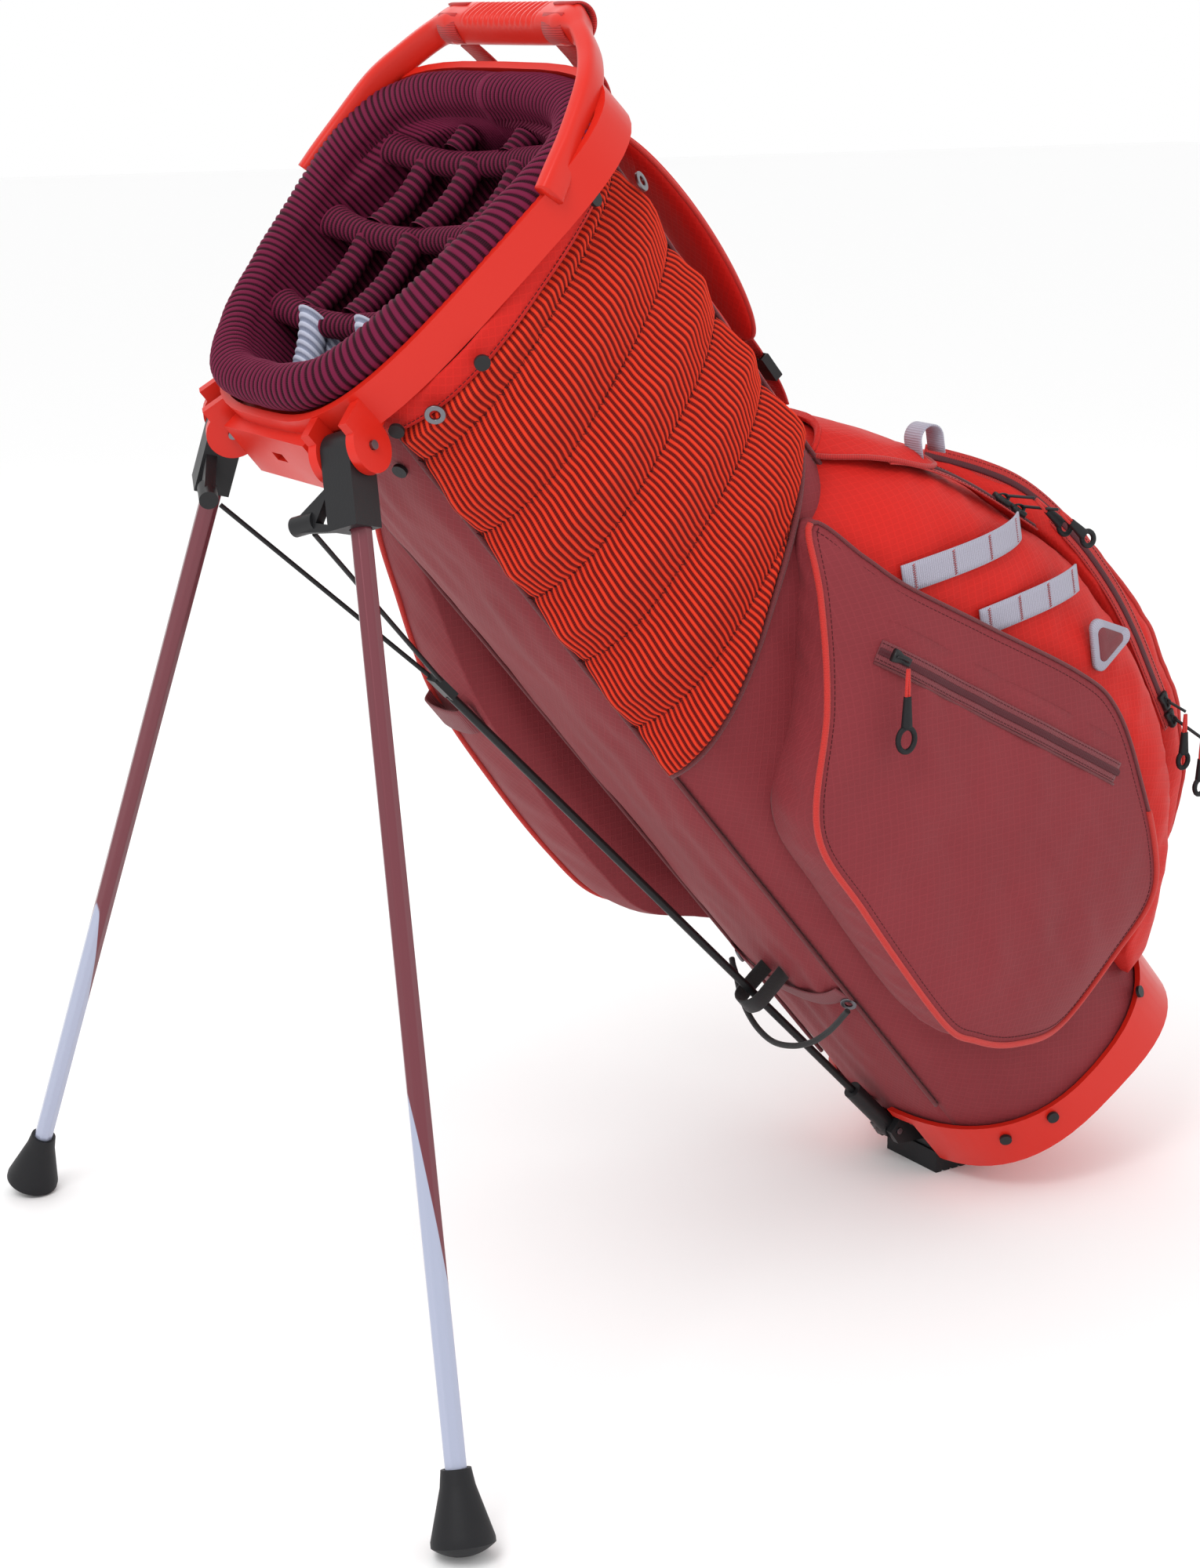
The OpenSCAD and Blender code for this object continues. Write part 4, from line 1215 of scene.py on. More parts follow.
@dataclass
class Dividers:
    """The ribbed cloth walls that part the mouth into channels, each with a roll along its top."""

    rib_mm: float = 5.0
    roll_r: float = 8.2
    hem_depth: float = 150.0
    cross_x: tuple[float, ...] = (47.0, 118.0, 182.0)

    def mouth_level(self, x: Points) -> Points:
        """Height of the mouth's plane over x."""
        return 858.0 + (np.asarray(x, float) - 100.0) * math.tan(math.radians(5.6))

    def section(self, half: float, roll_r: float) -> Points:
        """Rows of (sideways, up) from one hem over the roll to the other.

        Args:
            half: half the wall's thickness.
            roll_r: the roll's radius.

        Returns:
            Array of (rows, 2).
        """
        down = [(-half, -self.hem_depth + k) for k in np.linspace(0, self.hem_depth - 7, 10)]
        a = np.radians(np.linspace(220, -40, 15))
        roll = [(roll_r * math.cos(t), roll_r * math.sin(t)) for t in a]
        up = [(half, -7 - k) for k in np.linspace(0, self.hem_depth - 7, 10)]
        return np.array(down + roll + up)

    def wall(self, name: str, start: Points, end: Points, sag: float, sway: float, flare: float,
             stuff: Stuff) -> bpy.types.Object:
        """One wall with its roll.

        Args:
            name: its name.
            start: one end of the roll's middle.
            end: the other end.
            sag: millimetres that its middle hangs below its ends.
            sway: millimetres that it bows sideways.
            flare: how much the roll swells where it meets what holds it.
            stuff: its finish.

        Returns:
            The wall.
        """
        start, end = np.asarray(start, float), np.asarray(end, float)
        long = float(np.linalg.norm(end - start))
        ribs = max(4, round(long / self.rib_mm))
        cols = ribs * 7 + 1
        v = np.linspace(0, 1, cols)
        mid = start[None] + (end - start)[None] * v[:, None]
        mid[:, 2] -= sag * np.sin(math.pi * v) ** 1.2
        forward = (end - start) / long
        side = np.cross(forward, np.array([0.0, 0.0, 1.0]))
        side /= np.linalg.norm(side)
        mid += side[None] * (sway * np.sin(2 * math.pi * v))[:, None]
        grey = stuff is Stuff.GREY_RIBS
        rows = self.section(9.0 if grey else 1.3, 11.5 if grey else self.roll_r)
        relief = np.broadcast_to((0.5 + 0.5 * np.cos(2 * math.pi * ribs * v))[None], (len(rows), cols)) ** 0.8
        grow = 1.0 + flare * (np.exp(-v / 0.09) + np.exp(-(1 - v) / 0.09))[None]
        out = rows / np.maximum(np.linalg.norm(rows, axis=1), 1e-6)[:, None]
        out[rows[:, 1] < -6.5] = np.stack([np.sign(rows[rows[:, 1] < -6.5, 0]),
                                           0 * rows[rows[:, 1] < -6.5, 0]], axis=1)
        is_roll = (rows[:, 1] > -6.9)[:, None]
        a = rows[:, 0:1] * np.where(is_roll, grow, 1.0 + 0.6 * (grow - 1)) + out[:,
                                                                                 0:1] * (0.95 * relief - 0.45)
        h = rows[:, 1:2] + out[:, 1:2] * (0.95 * relief - 0.45)
        pts = mid[None] + a[..., None] * side[None, None] + h[..., None] * np.array([0.0, 0.0, 1.0])
        return skin(name, pts, stuff, relief=relief)

    def build(self) -> None:
        """Makes the cross walls and the lengthwise ones between them."""
        for number, (x, half) in enumerate(zip(self.cross_x, (84.0, 103.0, 101.0))):
            w = float(self.mouth_level(x)) - 12.0
            made = self.wall(f"cross_wall_{number + 1}", (x, -half, w + 3), (x, half, w + 3), 9.0, 3.0, 0.5,
                             Stuff.PLUM_RIBS)
            settle(made, "bag", f"divider_cross_{number + 1}", slot="ribbed_knit")
        rows = [(1, 0.5, 43.0, (-37.0, 37.0), Stuff.GREY_RIBS),
                (2, 51.0, 114.0, (-57.0, 0.0, 57.0), Stuff.PLUM_RIBS),
                (3, 122.0, 178.0, (-57.0, 0.0, 57.0), Stuff.PLUM_RIBS),
                (4, 186.0, 203.0, (-35.0, 35.0), Stuff.PLUM_RIBS)]
        for row, x0, x1, sides, stuff in rows:
            for number, y in enumerate(sides):
                w0, w1 = float(self.mouth_level(x0)) - 15.0, float(self.mouth_level(x1)) - 15.0
                w0 -= 20.0 if row == 1 else 0.0
                w1 += 4.0 if row == 1 else 0.0
                made = self.wall(f"long_wall_{row}_{number + 1}", (x0, y, w0), (x1, y, w1),
                                 4.0 if row != 4 else 0.0, 0.0, 0.35, stuff)
                first = (f"dividers_row_{row}",) if number == 0 else ()
                settle(made, "bag", *first, slot="grey_webbing" if row == 1 else "ribbed_knit")


@dataclass
class Handle:
    """The moulded carrying handle over the back of the mouth, with its grooved grip and wraps."""

    groove_mm: float = 6.4

    def build(self) -> None:
        """Makes the bar and the webbing wrapped round the ends of its grip."""
        half = [(142, 150, 868), (156, 147, 872), (180, 141, 878), (212, 129, 887), (234, 110, 892),
                (248, 90, 896.5), (255.5, 74, 898.5), (258, 58, 898), (258, 28, 898)]
        near_side = [(x, -y, w) for x, y, w in half]
        path = spline(near_side + [(258, 0, 898)] + half[::-1], 420)
        y = np.abs(path[:, 1])
        arm = smooth_step((y - 66) / 22.0)
        foot = smooth_step((150 - path[:, 0]) / 34.0)
        half_side = 12.0 * (1 - arm) + 6.0 * arm - 2.0 * foot
        half_up = 11.6 * (1 - arm) + 9.6 * arm + 1.5 * foot
        grip = smooth_step((46 - y) / 6.0)
        comb = 0.5 + 0.5 * np.cos(2 * math.pi * path[:, 1] / self.groove_mm)
        dent = 2.4 * grip * smooth_step((comb - 0.35) * 2.2)
        bar = sweep("handle_bar", path, half_side, half_up, (0.12, 0, 1), Stuff.MOULDED_RED, 3.4, 28, dent)
        settle(bar, "bag", "handle", slot="moulded_plastic")
        for side, word in ((-1, "near"), (1, "far")):
            turn = np.linspace(math.radians(-250), math.radians(70), 44)
            loop = np.stack([258 + 13.6 * np.cos(turn), np.full(44, side * 64.0), 898 + 13.2 * np.sin(turn)],
                            axis=1)
            wrap = ribbon(f"grip_wrap_{word}", loop, (0, 1, 0), 11.5, 1.5, Stuff.RED_WEBBING)
            names = ("handle_wraps",) if side < 0 else ()
            settle(wrap, "bag", *names, slot="red_fabric")


@dataclass
class ShoulderStrap:
    """Webbing from the handle, two padded straps along the spine, and their lower webbing."""

    def build(self) -> None:
        """Makes both sides."""
        for side, word in ((-1, "near"), (1, "far")):
            drop = spline([(250, side * 60, 887), (252.5, side * 58, 872), (254, side * 54, 852),
                           (250, side * 48, 832), (247, side * 44, 812)], 60)
            tail = ribbon(f"strap_top_{word}", drop, (0, 1, 0.12 * side), 12.0, 1.6, Stuff.RED_WEBBING)
            settle(tail, "bag", *(("strap_webbing",) if side < 0 else ()), slot="red_fabric")
            low = spline([(246, side * 36, 652), (246.5, side * 36, 632), (245.5, side * 36, 610),
                          (243.5, side * 36, 596), (240.6, side * 36, 586)], 40)
            settle(ribbon(f"strap_low_{word}", low, (0, 1, 0), 9.5, 1.6, Stuff.RED_WEBBING), "bag",
                   slot="red_fabric")
            self.pad(side, word)

    def pad(self, side: int, word: str) -> None:
        """One shoulder pad: a crowned pillow with piping round it.

        Args:
            side: -1 near, 1 far.
            word: its side's name.
        """
        v = np.linspace(-1, 1, 70)
        u = np.linspace(-1, 1, 30)
        end = np.clip(1 - np.abs(v) ** 5, 0, 1) ** 0.45
        w = 733 + 93 * v
        mid_y = side * (39 + 3 * v)
        edge = np.clip(1 - np.abs(u) ** 3.5, 0, 1) ** 0.5
        swell = edge[None] * end[:, None]
        groove = 1 - 0.22 * np.exp(-((np.abs(u)[None] - 0.52) / 0.06) ** 2)
        x0 = 240 + 10 * np.cos(v * math.pi / 2)[:, None]
        top = np.stack(np.broadcast_arrays(x0 + 6 + 6.5 * swell * groove,
                                           (mid_y[:, None] + 26 * u[None] * end[:, None]),
                                           w[:, None]), axis=-1)
        base = top.copy()
        base[..., 0] = x0 + 6 - 5.5 * swell
        ring = np.concatenate([top, base[:, ::-1]], axis=1)
        made = skin(f"shoulder_pad_{word}", ring, Stuff.RED_CLOTH, wrap_cols=True, caps=True)
        settle(made, "bag", *(("strap_pads",) if side < 0 else ()), slot="red_fabric", padded=0.8)
        rim = np.concatenate([top[:, 0], top[::-1, -1]])
        keep = np.concatenate([[True], np.linalg.norm(np.diff(rim, axis=0), axis=1) > 0.4])
        settle(closed_cord(f"shoulder_pad_piping_{word}", rim[keep], 1.5, Stuff.PIPING_RED), "bag",
               slot="red_fabric")


@dataclass
class SidePocket:
    """A filled pocket on the body's side: a crowned face inside piping, and a gusset back to the body."""

    name: str
    side: int
    outline: list[tuple[float, float]]
    middle: tuple[float, float]
    out: list[tuple[float, float]]
    node: str
    back_y: float
    crown: float = 7.0
    edge_in: float = 5.0
    seed: int = 21
    piped: float = 1.0

    def edge(self, count: int) -> Points:
        """The face's outline as evenly spaced (x, w) points."""
        return spline(self.outline, count, closed=True)

    def edge_y(self, w: Points) -> Points:
        """How far the face's edge stands out at height w, without its sign."""
        return table(w, self.out) - self.edge_in

    def face_y(self, x: Points, w: Points, share: Points) -> Points:
        """How far the face stands out, for a point that is share of the way to its edge.

        Args:
            x: distance from the leg side.
            w: height along the bag.
            share: 0 in the middle, 1 at the edge.

        Returns:
            Y without its sign.
        """
        here = np.stack(np.broadcast_arrays(x, 0.0, w), axis=-1)
        soft = folds(here, (95, 95, 130), self.seed) + 0.5 * folds(here, (42, 42, 70), self.seed + 4)
        return self.edge_y(w) + self.crown * (1 - share**2.6) + 1.5 * soft * (1 - share**5)

    def surface(self, x: float, w: float) -> Points:
        """A point of the face over (x, w), for what is sewn on it.

        Args:
            x: distance from the leg side.
            w: height along the bag.

        Returns:
            The point in the bag's frame.
        """
        edge = self.edge(240)
        mid = np.array(self.middle)
        want = math.atan2(w - mid[1], x - mid[0])
        turn = np.arctan2(edge[:, 1] - mid[1], edge[:, 0] - mid[0])
        best = np.argmin(np.abs((turn - want + math.pi) % (2 * math.pi) - math.pi))
        share = math.hypot(x - mid[0], w - mid[1]) / np.linalg.norm(edge[best] - mid)
        y = float(self.face_y(np.array(x), np.array(w), np.array(min(1.0, share))))
        return np.array([x, self.side * y, w])

    def build(self) -> None:
        """Makes the pocket's shell and piping."""
        count = 300
        edge = self.edge(count)
        mid = np.array(self.middle)
        rows = []
        for share in np.concatenate([np.linspace(0.02, 0.9, 26), [0.94, 0.97, 0.99, 1.0]]):
            xw = mid + (edge - mid) * share
            y = self.face_y(xw[:, 0], xw[:, 1], np.full(count, share))
            rows.append(np.stack([xw[:, 0], self.side * y, xw[:, 1]], axis=1))
        normal = np.stack([np.gradient(edge[:, 1]), -np.gradient(edge[:, 0])], axis=1)
        normal /= np.linalg.norm(normal, axis=1)[:, None]
        if np.mean(np.sum(normal * (edge - mid), axis=1)) < 0:
            normal = -normal
        rim = self.edge_y(edge[:, 1])
        for part in np.linspace(0.04, 1.0, 16):
            bow = 3.2 * math.sin(math.pi * part)
            here = np.stack([edge[:, 0], np.zeros(count), edge[:, 1]], axis=1)
            here[:, 1] = part * 40
            soft = 1.3 * folds(here, (46, 60, 46), self.seed + 7) * math.sin(math.pi * part)
            xw = edge + normal * (bow + soft)[:, None] - normal * 2.0 * part
            depth = rim * (1 - part) + np.minimum(rim - 4.0, self.back_y) * part
            rows.append(np.stack([xw[:, 0], self.side * depth, xw[:, 1]], axis=1))
        back = rows[-1]
        for share in (0.8, 0.4, 0.02):
            xw = mid + (back[:, [0, 2]] - mid) * share
            rows.append(np.stack([xw[:, 0], back[:, 1], xw[:, 1]], axis=1))
        shell = skin(self.name + "_shell", np.array(rows), Stuff.MAROON_CLOTH, wrap_cols=True, caps=True)
        self.flatten_uv(shell)
        settle(shell, "bag", self.node, slot="maroon_fabric")
        piping = np.stack([edge[:, 0], self.side * (rim + 0.6), edge[:, 1]], axis=1) + np.stack(
            [normal[:, 0], np.zeros(count), normal[:, 1]], axis=1) * 1.0
        self.pipe(piping, count)
        inset = np.stack([edge[:, 0], self.side * (rim + 0.9), edge[:, 1]], axis=1)
        inset[:, [0, 2]] -= normal * 5.0
        inset[:, 1] = self.side * (self.face_y(inset[:, 0], inset[:, 2], np.full(count, 0.965)) + 0.1)
        settle(stitches(self.name + "_topstitch", inset, np.array([0.0, self.side, 0.0]), Stuff.THREAD_DARK,
                        pitch=3.6, radius=0.26), "bag", slot="maroon_fabric")

    def pipe(self, line: Points, count: int) -> None:
        """Piping round the face: red, then cloth-coloured where the face meets red cloth.

        Args:
            line: the edge's points.
            count: how many there are.
        """
        if self.piped >= 1.0:
            settle(closed_cord(self.name + "_piping", line, 2.3, Stuff.PIPING_RED, 10), "bag",
                   slot="red_fabric")
            return
        last = int(count * self.piped)
        way = (0.02, self.side, 0.02)
        settle(sweep(self.name + "_piping", line[:last], 2.3, 2.3, way, Stuff.PIPING_RED, sides=10), "bag",
               slot="red_fabric")
        rest = np.vstack([line[last - 2:], line[:2]])
        settle(sweep(self.name + "_seam", rest, 1.3, 1.3, way, Stuff.PIPING_MAROON, sides=10), "bag",
               slot="maroon_fabric")

    @staticmethod
    def flatten_uv(obj: bpy.types.Object) -> None:
        """Lays the cloth coordinate flat over the face, so that its weave runs straight.

        Args:
            obj: the pocket's shell.
        """
        mesh = obj.data
        co = np.zeros(len(mesh.vertices) * 3)
        mesh.vertices.foreach_get("co", co)
        co = co.reshape(-1, 3)
        c, s = math.cos(LEAN), math.sin(LEAN)
        uv = np.stack([co[:, 0] * c + co[:, 2] * s + co[:, 1], -co[:, 0] * s + co[:, 2] * c], axis=1)
        corner = np.zeros(len(mesh.loops), dtype=np.int32)
        mesh.loops.foreach_get("vertex_index", corner)
        mesh.uv_layers["cloth"].data.foreach_set("uv", uv[corner].astype(np.float32).ravel())


@dataclass
class BackPockets:
    """The red ball pocket along the spine, the flatter pocket stacked on it, and their piping."""

    levels: int = 90
    across: int = 100

    def loop(self, w: Points, inner: Points, outer: Points, half: Points, roundness: float) -> Points:
        """Sections of a pocket from near side over its face to its far side.

        Args:
            w: the sections' heights.
            inner: X of each section's back.
            outer: X of its face.
            half: half its width.
            roundness: 2 is an ellipse, more is boxier.

        Returns:
            Array of (levels, across, 3).
        """
        a = np.radians(np.linspace(-90, 90, self.across))[None]
        s, c = signed_power(np.sin(a), 2 / roundness), signed_power(np.cos(a), 2 / roundness)
        x = inner[:, None] + (outer - inner)[:, None] * c
        y = half[:, None] * s
        return np.stack(np.broadcast_arrays(x, y, w[:, None]), axis=-1)

    def close(self, grid: Points, push: float) -> Points:
        """Adds rounded ends above and below a stack of sections.

        Args:
            grid: the sections.
            push: how far the ends bulge.

        Returns:
            The longer stack.
        """
        def end(row: Points, way: float) -> list:
            """Shrinking rings that close one end.

            Args:
                row: the last section.
                way: -1 below, 1 above.

            Returns:
                The rings, outermost first.
            """
            mid = np.array([row[:, 0].min() * 0.55 + row[:, 0].max() * 0.45, 0.0, row[0, 2]])
            made = []
            for share, lift in ((0.93, 0.5), (0.75, 0.85), (0.4, 1.0), (0.04, 1.0)):
                ring = mid + (row - mid) * share
                ring[:, 2] = row[:, 2] + way * push * lift
                made.append(ring)
            return made
        low, high = end(grid[0], -1.0), end(grid[-1], 1.0)
        return np.concatenate([np.array(low[::-1]), grid, np.array(high)])

    def build(self) -> None:
        """Makes both pockets."""
        w = np.linspace(70, 570, self.levels)
        inner, outer, half = table(w, NEAR_BACK) - 34.0, table(w, BALL_BACK), table(w, BALL_SIDE)
        grid = self.loop(w, inner, outer - 1.0, half - 1.0, PILLOW)
        grid = self.soften(grid, 1.7, 51, (90, 70, 95))
        self.shell("ball_pocket_shell", self.close(grid, 5.0), "ball_pocket")
        w2 = np.linspace(66, 486, 80)
        half2 = table(w2, REAR_SIDE)
        a = np.radians(np.linspace(-90, 90, self.across))[None]
        y = half2[:, None] * signed_power(np.sin(a), 2 / 3.2)
        base = ball_face(y, w2[:, None]) - 1.5
        edge = ball_face(half2, w2)
        reach = np.maximum(table(w2, REAR_BACK) - edge, 8.0)[:, None] - 1.0
        x = np.maximum(base, edge[:, None] + reach * signed_power(np.cos(a), 2 / 3.2))
        grid = np.stack(np.broadcast_arrays(x, y, w2[:, None]), axis=-1)
        grid = self.soften(grid, 1.5, 57, (80, 60, 90))
        self.shell("rear_pocket_shell", self.close(grid, 4.0), "rear_pocket")
        for side in (-1, 1):
            word = "near" if side < 0 else "far"
            for name, col in (("ball", 0.845), ("rear", 0.80)):
                if name == "ball" and side < 0:
                    continue
                column = int((self.across - 1) * (col if side > 0 else 1 - col))
                src = self.loop(w, inner, outer - 1.0, half - 1.0, PILLOW) if name == "ball" else grid
                path = src[6:-5, column] + np.array([0.9, side * 0.9, 0.0])
                settle(sweep(f"{name}_pocket_piping_{word}", path, 2.0, 2.0, (1, 0, 0.02), Stuff.PIPING_RED,
                             sides=8),
                       "bag", slot="red_fabric")

    def soften(self, grid: Points, amount: float, seed: int, size: tuple[float, float, float]) -> Points:
        """Pushes a surface in and out by soft folds, less at its edges.

        Args:
            grid: the surface.
            amount: the folds' height.
            seed: which set of folds.
            size: their wavelength along X, Y and W.

        Returns:
            The folded surface.
        """
        normal = np.cross(np.gradient(grid, axis=0), np.gradient(grid, axis=1))
        normal /= np.maximum(np.linalg.norm(normal, axis=-1), 1e-6)[..., None]
        rise = amount * (folds(grid, size, seed) + 0.45
                         * folds(grid, tuple(v * 0.42 for v in size), seed + 3) - 0.5)
        rows = np.linspace(0, 1, grid.shape[0])[:, None]
        rise = np.minimum(rise * smooth_step(np.minimum(rows, 1 - rows) * 14), 0.9)
        return grid - normal * rise[..., None] * np.sign(np.median(normal[..., 0]) * -1.0)

    def shell(self, name: str, grid: Points, node: str) -> None:
        """Closes a stack of sections along the body and settles it."""
        made = skin(name, grid, Stuff.RED_CLOTH, wrap_cols=True, caps=True)
        settle(made, "bag", node, slot="red_fabric")


@dataclass
class Zip:
    """A coil zip sewn along a path: two tapes, the coil between them and its stitching."""

    name: str
    path: Points
    out: Points
    tape_mm: float = 6.5
    coil_mm: float = 2.3
    tooth_mm: float = 1.7
    tape: Stuff = Stuff.MAROON_WEBBING
    nodes: tuple[str, ...] = ()

    def build(self) -> None:
        """Makes the zip."""
        length = run_length(self.path)
        count = int(length[-1] / self.tooth_mm * 4)
        at = np.linspace(0, length[-1], count)
        path = np.stack([np.interp(at, length, self.path[:, k]) for k in range(3)], axis=1)
        out = np.stack([np.interp(at, length, np.broadcast_to(self.out, self.path.shape)[:, k])
                        for k in range(3)], axis=1)
        out /= np.linalg.norm(out, axis=1)[:, None]
        forward = np.gradient(path, axis=0)
        forward /= np.linalg.norm(forward, axis=1)[:, None]
        across = np.cross(out, forward)
        few = slice(0, None, 8)
        settle(ribbon(self.name + "_tape", path[few] - 0.4 * out[few], across[few], self.tape_mm, 1.1,
                      self.tape), "bag",
               *self.nodes, slot="maroon_fabric")
        tooth = 0.5 + 0.5 * np.cos(2 * math.pi * at / self.tooth_mm)
        coil = sweep(self.name + "_coil", path + 0.7 * out, self.coil_mm - 0.35 * tooth, 1.0 + 0.35 * tooth,
                     out.mean(axis=0), Stuff.ZIP_COIL, 2.6, 10)
        settle(coil, "bag", slot="maroon_fabric")
        for side in (-1, 1):
            line = path[few] + side * (self.tape_mm - 1.6) * across[few] + 0.85 * out[few]
            settle(stitches(f"{self.name}_stitch_{'a' if side < 0 else 'b'}", line, out[few],
                            Stuff.THREAD_DARK, pitch=3.2, radius=0.22), "bag", slot="maroon_fabric")


@dataclass
class Pull:
    """A zip slider's pull: a short doubled cord and a moulded ring at its end."""

    name: str
    top: tuple[float, float, float]
    hang: tuple[float, float, float]
    length: float
    body: str
    node: str
    ring_r: float = 8.5

    def build(self) -> None:
        """Makes the pull."""
        top, hang = np.array(self.top, float), np.array(self.hang, float)
        hang /= np.linalg.norm(hang)
        side = np.cross(hang, np.array([0.0, 1.0, 0.0]))
        side /= np.linalg.norm(side)
        short = self.length - 2 * self.ring_r
        parts = []
        for way in (-1, 1):
            line = top + hang * np.linspace(2, short, 14)[:, None]
            line = line + side * (way * 1.1 * np.sin(np.linspace(0.4, math.pi - 0.3, 14)))[:, None]
            parts.append(sweep(self.name + "_cord", line, 1.15, 1.15, (0, 1, 0), Stuff.CORD_RED, sides=8))
        line = top + hang * np.linspace(short * 0.52, short + 2.0, 12)[:, None]
        parts.append(sweep(self.name + "_sleeve", line, np.linspace(2.6, 4.0, 12), np.linspace(2.0, 2.6, 12),
                           (0, 1, 0), Stuff.RUBBER, 3.0, 12))
        a = np.linspace(0, 2 * math.pi, 40, endpoint=False)
        centre = top + hang * (short + self.ring_r)
        ring = (centre + self.ring_r * 0.82 * np.cos(a)[:, None] * hang
                + self.ring_r * 0.7 * np.sin(a)[:, None] * side)
        parts.append(closed_cord(self.name + "_ring", ring, 1.9, Stuff.RUBBER, 10))
        settle(join(self.name, parts), self.body, self.node, slot="black_plastic")


@dataclass
class Zips:
    """Every zip, its sliders and their pulls."""

    near_face: SidePocket
    near_a: tuple[float, float] = (140.0, 476.0)
    near_b: tuple[float, float] = (231.0, 252.0)

    def build(self) -> None:
        """Makes the zips."""
        self.near()
        self.ball()
        self.rear()

    def near(self) -> None:
        """The straight zip on the near pocket, with the welt that half covers it."""
        line = along(self.near_a, self.near_b, 60)
        path = np.array([self.near_face.surface(x, w) for x, w in line]) + np.array([0.0, -0.6, 0.0])
        out = np.broadcast_to(np.array([0.0, -1.0, 0.0]), path.shape)
        Zip("near_zip", path, out, 7.5, 2.6, nodes=("near_zip_track",)).build()
        d = np.array([self.near_b[0] - self.near_a[0], 0.0, self.near_b[1] - self.near_a[1]])
        d /= np.linalg.norm(d)
        aside = np.array([-d[2], 0.0, d[0]])
        lift = np.array([self.near_face.surface(p[0] + 13 * aside[0], p[2] + 13 * aside[2]) for p in path])
        welt = ribbon("near_zip_welt", lift + np.array([0, 0.4, 0]), -aside, 8.5, 1.8, Stuff.MAROON_CLOTH,
                      1.2)
        settle(welt, "bag", slot="maroon_fabric")
        line = path - 8.6 * aside - np.array([0, 0.3, 0])
        settle(sweep("near_zip_edge", line, 0.9, 0.9, (0, -1, 0), Stuff.PIPING_MAROON, sides=8), "bag",
               slot="maroon_fabric")
        at = np.array([self.near_a[0], -174.0, self.near_a[1]]) + 8 * d
        self.slider("near_zip_runner", at + np.array([0, 1.4, 0]), d, np.array([0, -1.0, 0]), "near_slider",
                    "near_zip_slider", 15.0)
        Pull("near_zip_tag", (142, -177.5, 464), (-0.643, 0, -0.766), 60, "near_pull", "near_zip_pull",
             10.0).build()

    def ball(self) -> None:
        """The zip down the near edge of the ball pocket's face."""
        w = np.linspace(540, 408, 50)
        y = np.full_like(w, -108.0)
        path = np.stack([ball_face(y, w) + 0.2, y, w], axis=1)
        step = 0.5
        dy = (ball_face(y + step, w) - ball_face(y - step, w)) / (2 * step)
        dw = (ball_face(y, w + step) - ball_face(y, w - step)) / (2 * step)
        out = np.stack([np.ones_like(w), -dy, -dw], axis=1)
        out /= np.linalg.norm(out, axis=1)[:, None]
        Zip("ball_zip", path, out, 8.0, 2.6, tape=Stuff.RED_WEBBING, nodes=("curved_zip_tracks",)).build()
        for word, top, level in (("a", (316, -125, 436), 444.0), ("b", (322, -133, 420), 427.0)):
            k = int(np.argmin(np.abs(w - level)))
            d = path[k + 1] - path[k]
            d /= np.linalg.norm(d)
            self.slider(f"ball_zip_runner_{word}", path[k] + 3.2 * out[k], d, out[k], "bag",
                        "ball_zip_sliders" if word == "a" else "", 13.0, np.array(top, float))
            Pull(f"ball_zip_tag_{word}", top, (0.2, 0, -0.98), 44, f"ball_pull_{word}",
                 f"ball_zip_pull_{word}", 7.0).build()

    def rear(self) -> None:
        """The long zip round the near side of the rear pocket."""
        spine = [(298, 484), (318, 452), (332, 418), (338, 370), (338, 318), (334, 278), (327, 238),
                 (319, 190)]
        line = spline(spine, 110)
        y = -np.minimum(rear_flank(line[:, 0], line[:, 1]) + 0.2, 109.0)
        path = np.stack([line[:, 0], y, line[:, 1]], axis=1)
        out = np.broadcast_to(np.array([0.22, -0.975, 0.0]), path.shape)
        Zip("rear_zip", path, out, 8.0, 2.6, tape=Stuff.RED_WEBBING).build()
        for word, top, level in (("a", (327, -121, 200), 212.0), ("b", (322, -129, 178), 196.0)):
            k = min(len(line) - 2, int(np.argmin(np.abs(line[:, 1] - level))))
            d = path[k + 1] - path[k]
            d /= np.linalg.norm(d)
            self.slider(f"rear_zip_runner_{word}", path[k] + 3.0 * out[k], d, out[k], "bag",
                        "rear_zip_sliders" if word == "a" else "", 13.0, np.array(top, float))
            Pull(f"rear_zip_tag_{word}", top, (-0.643, 0, -0.766), 44, f"rear_pull_{word}",
                 f"rear_zip_pull_{word}", 7.0).build()

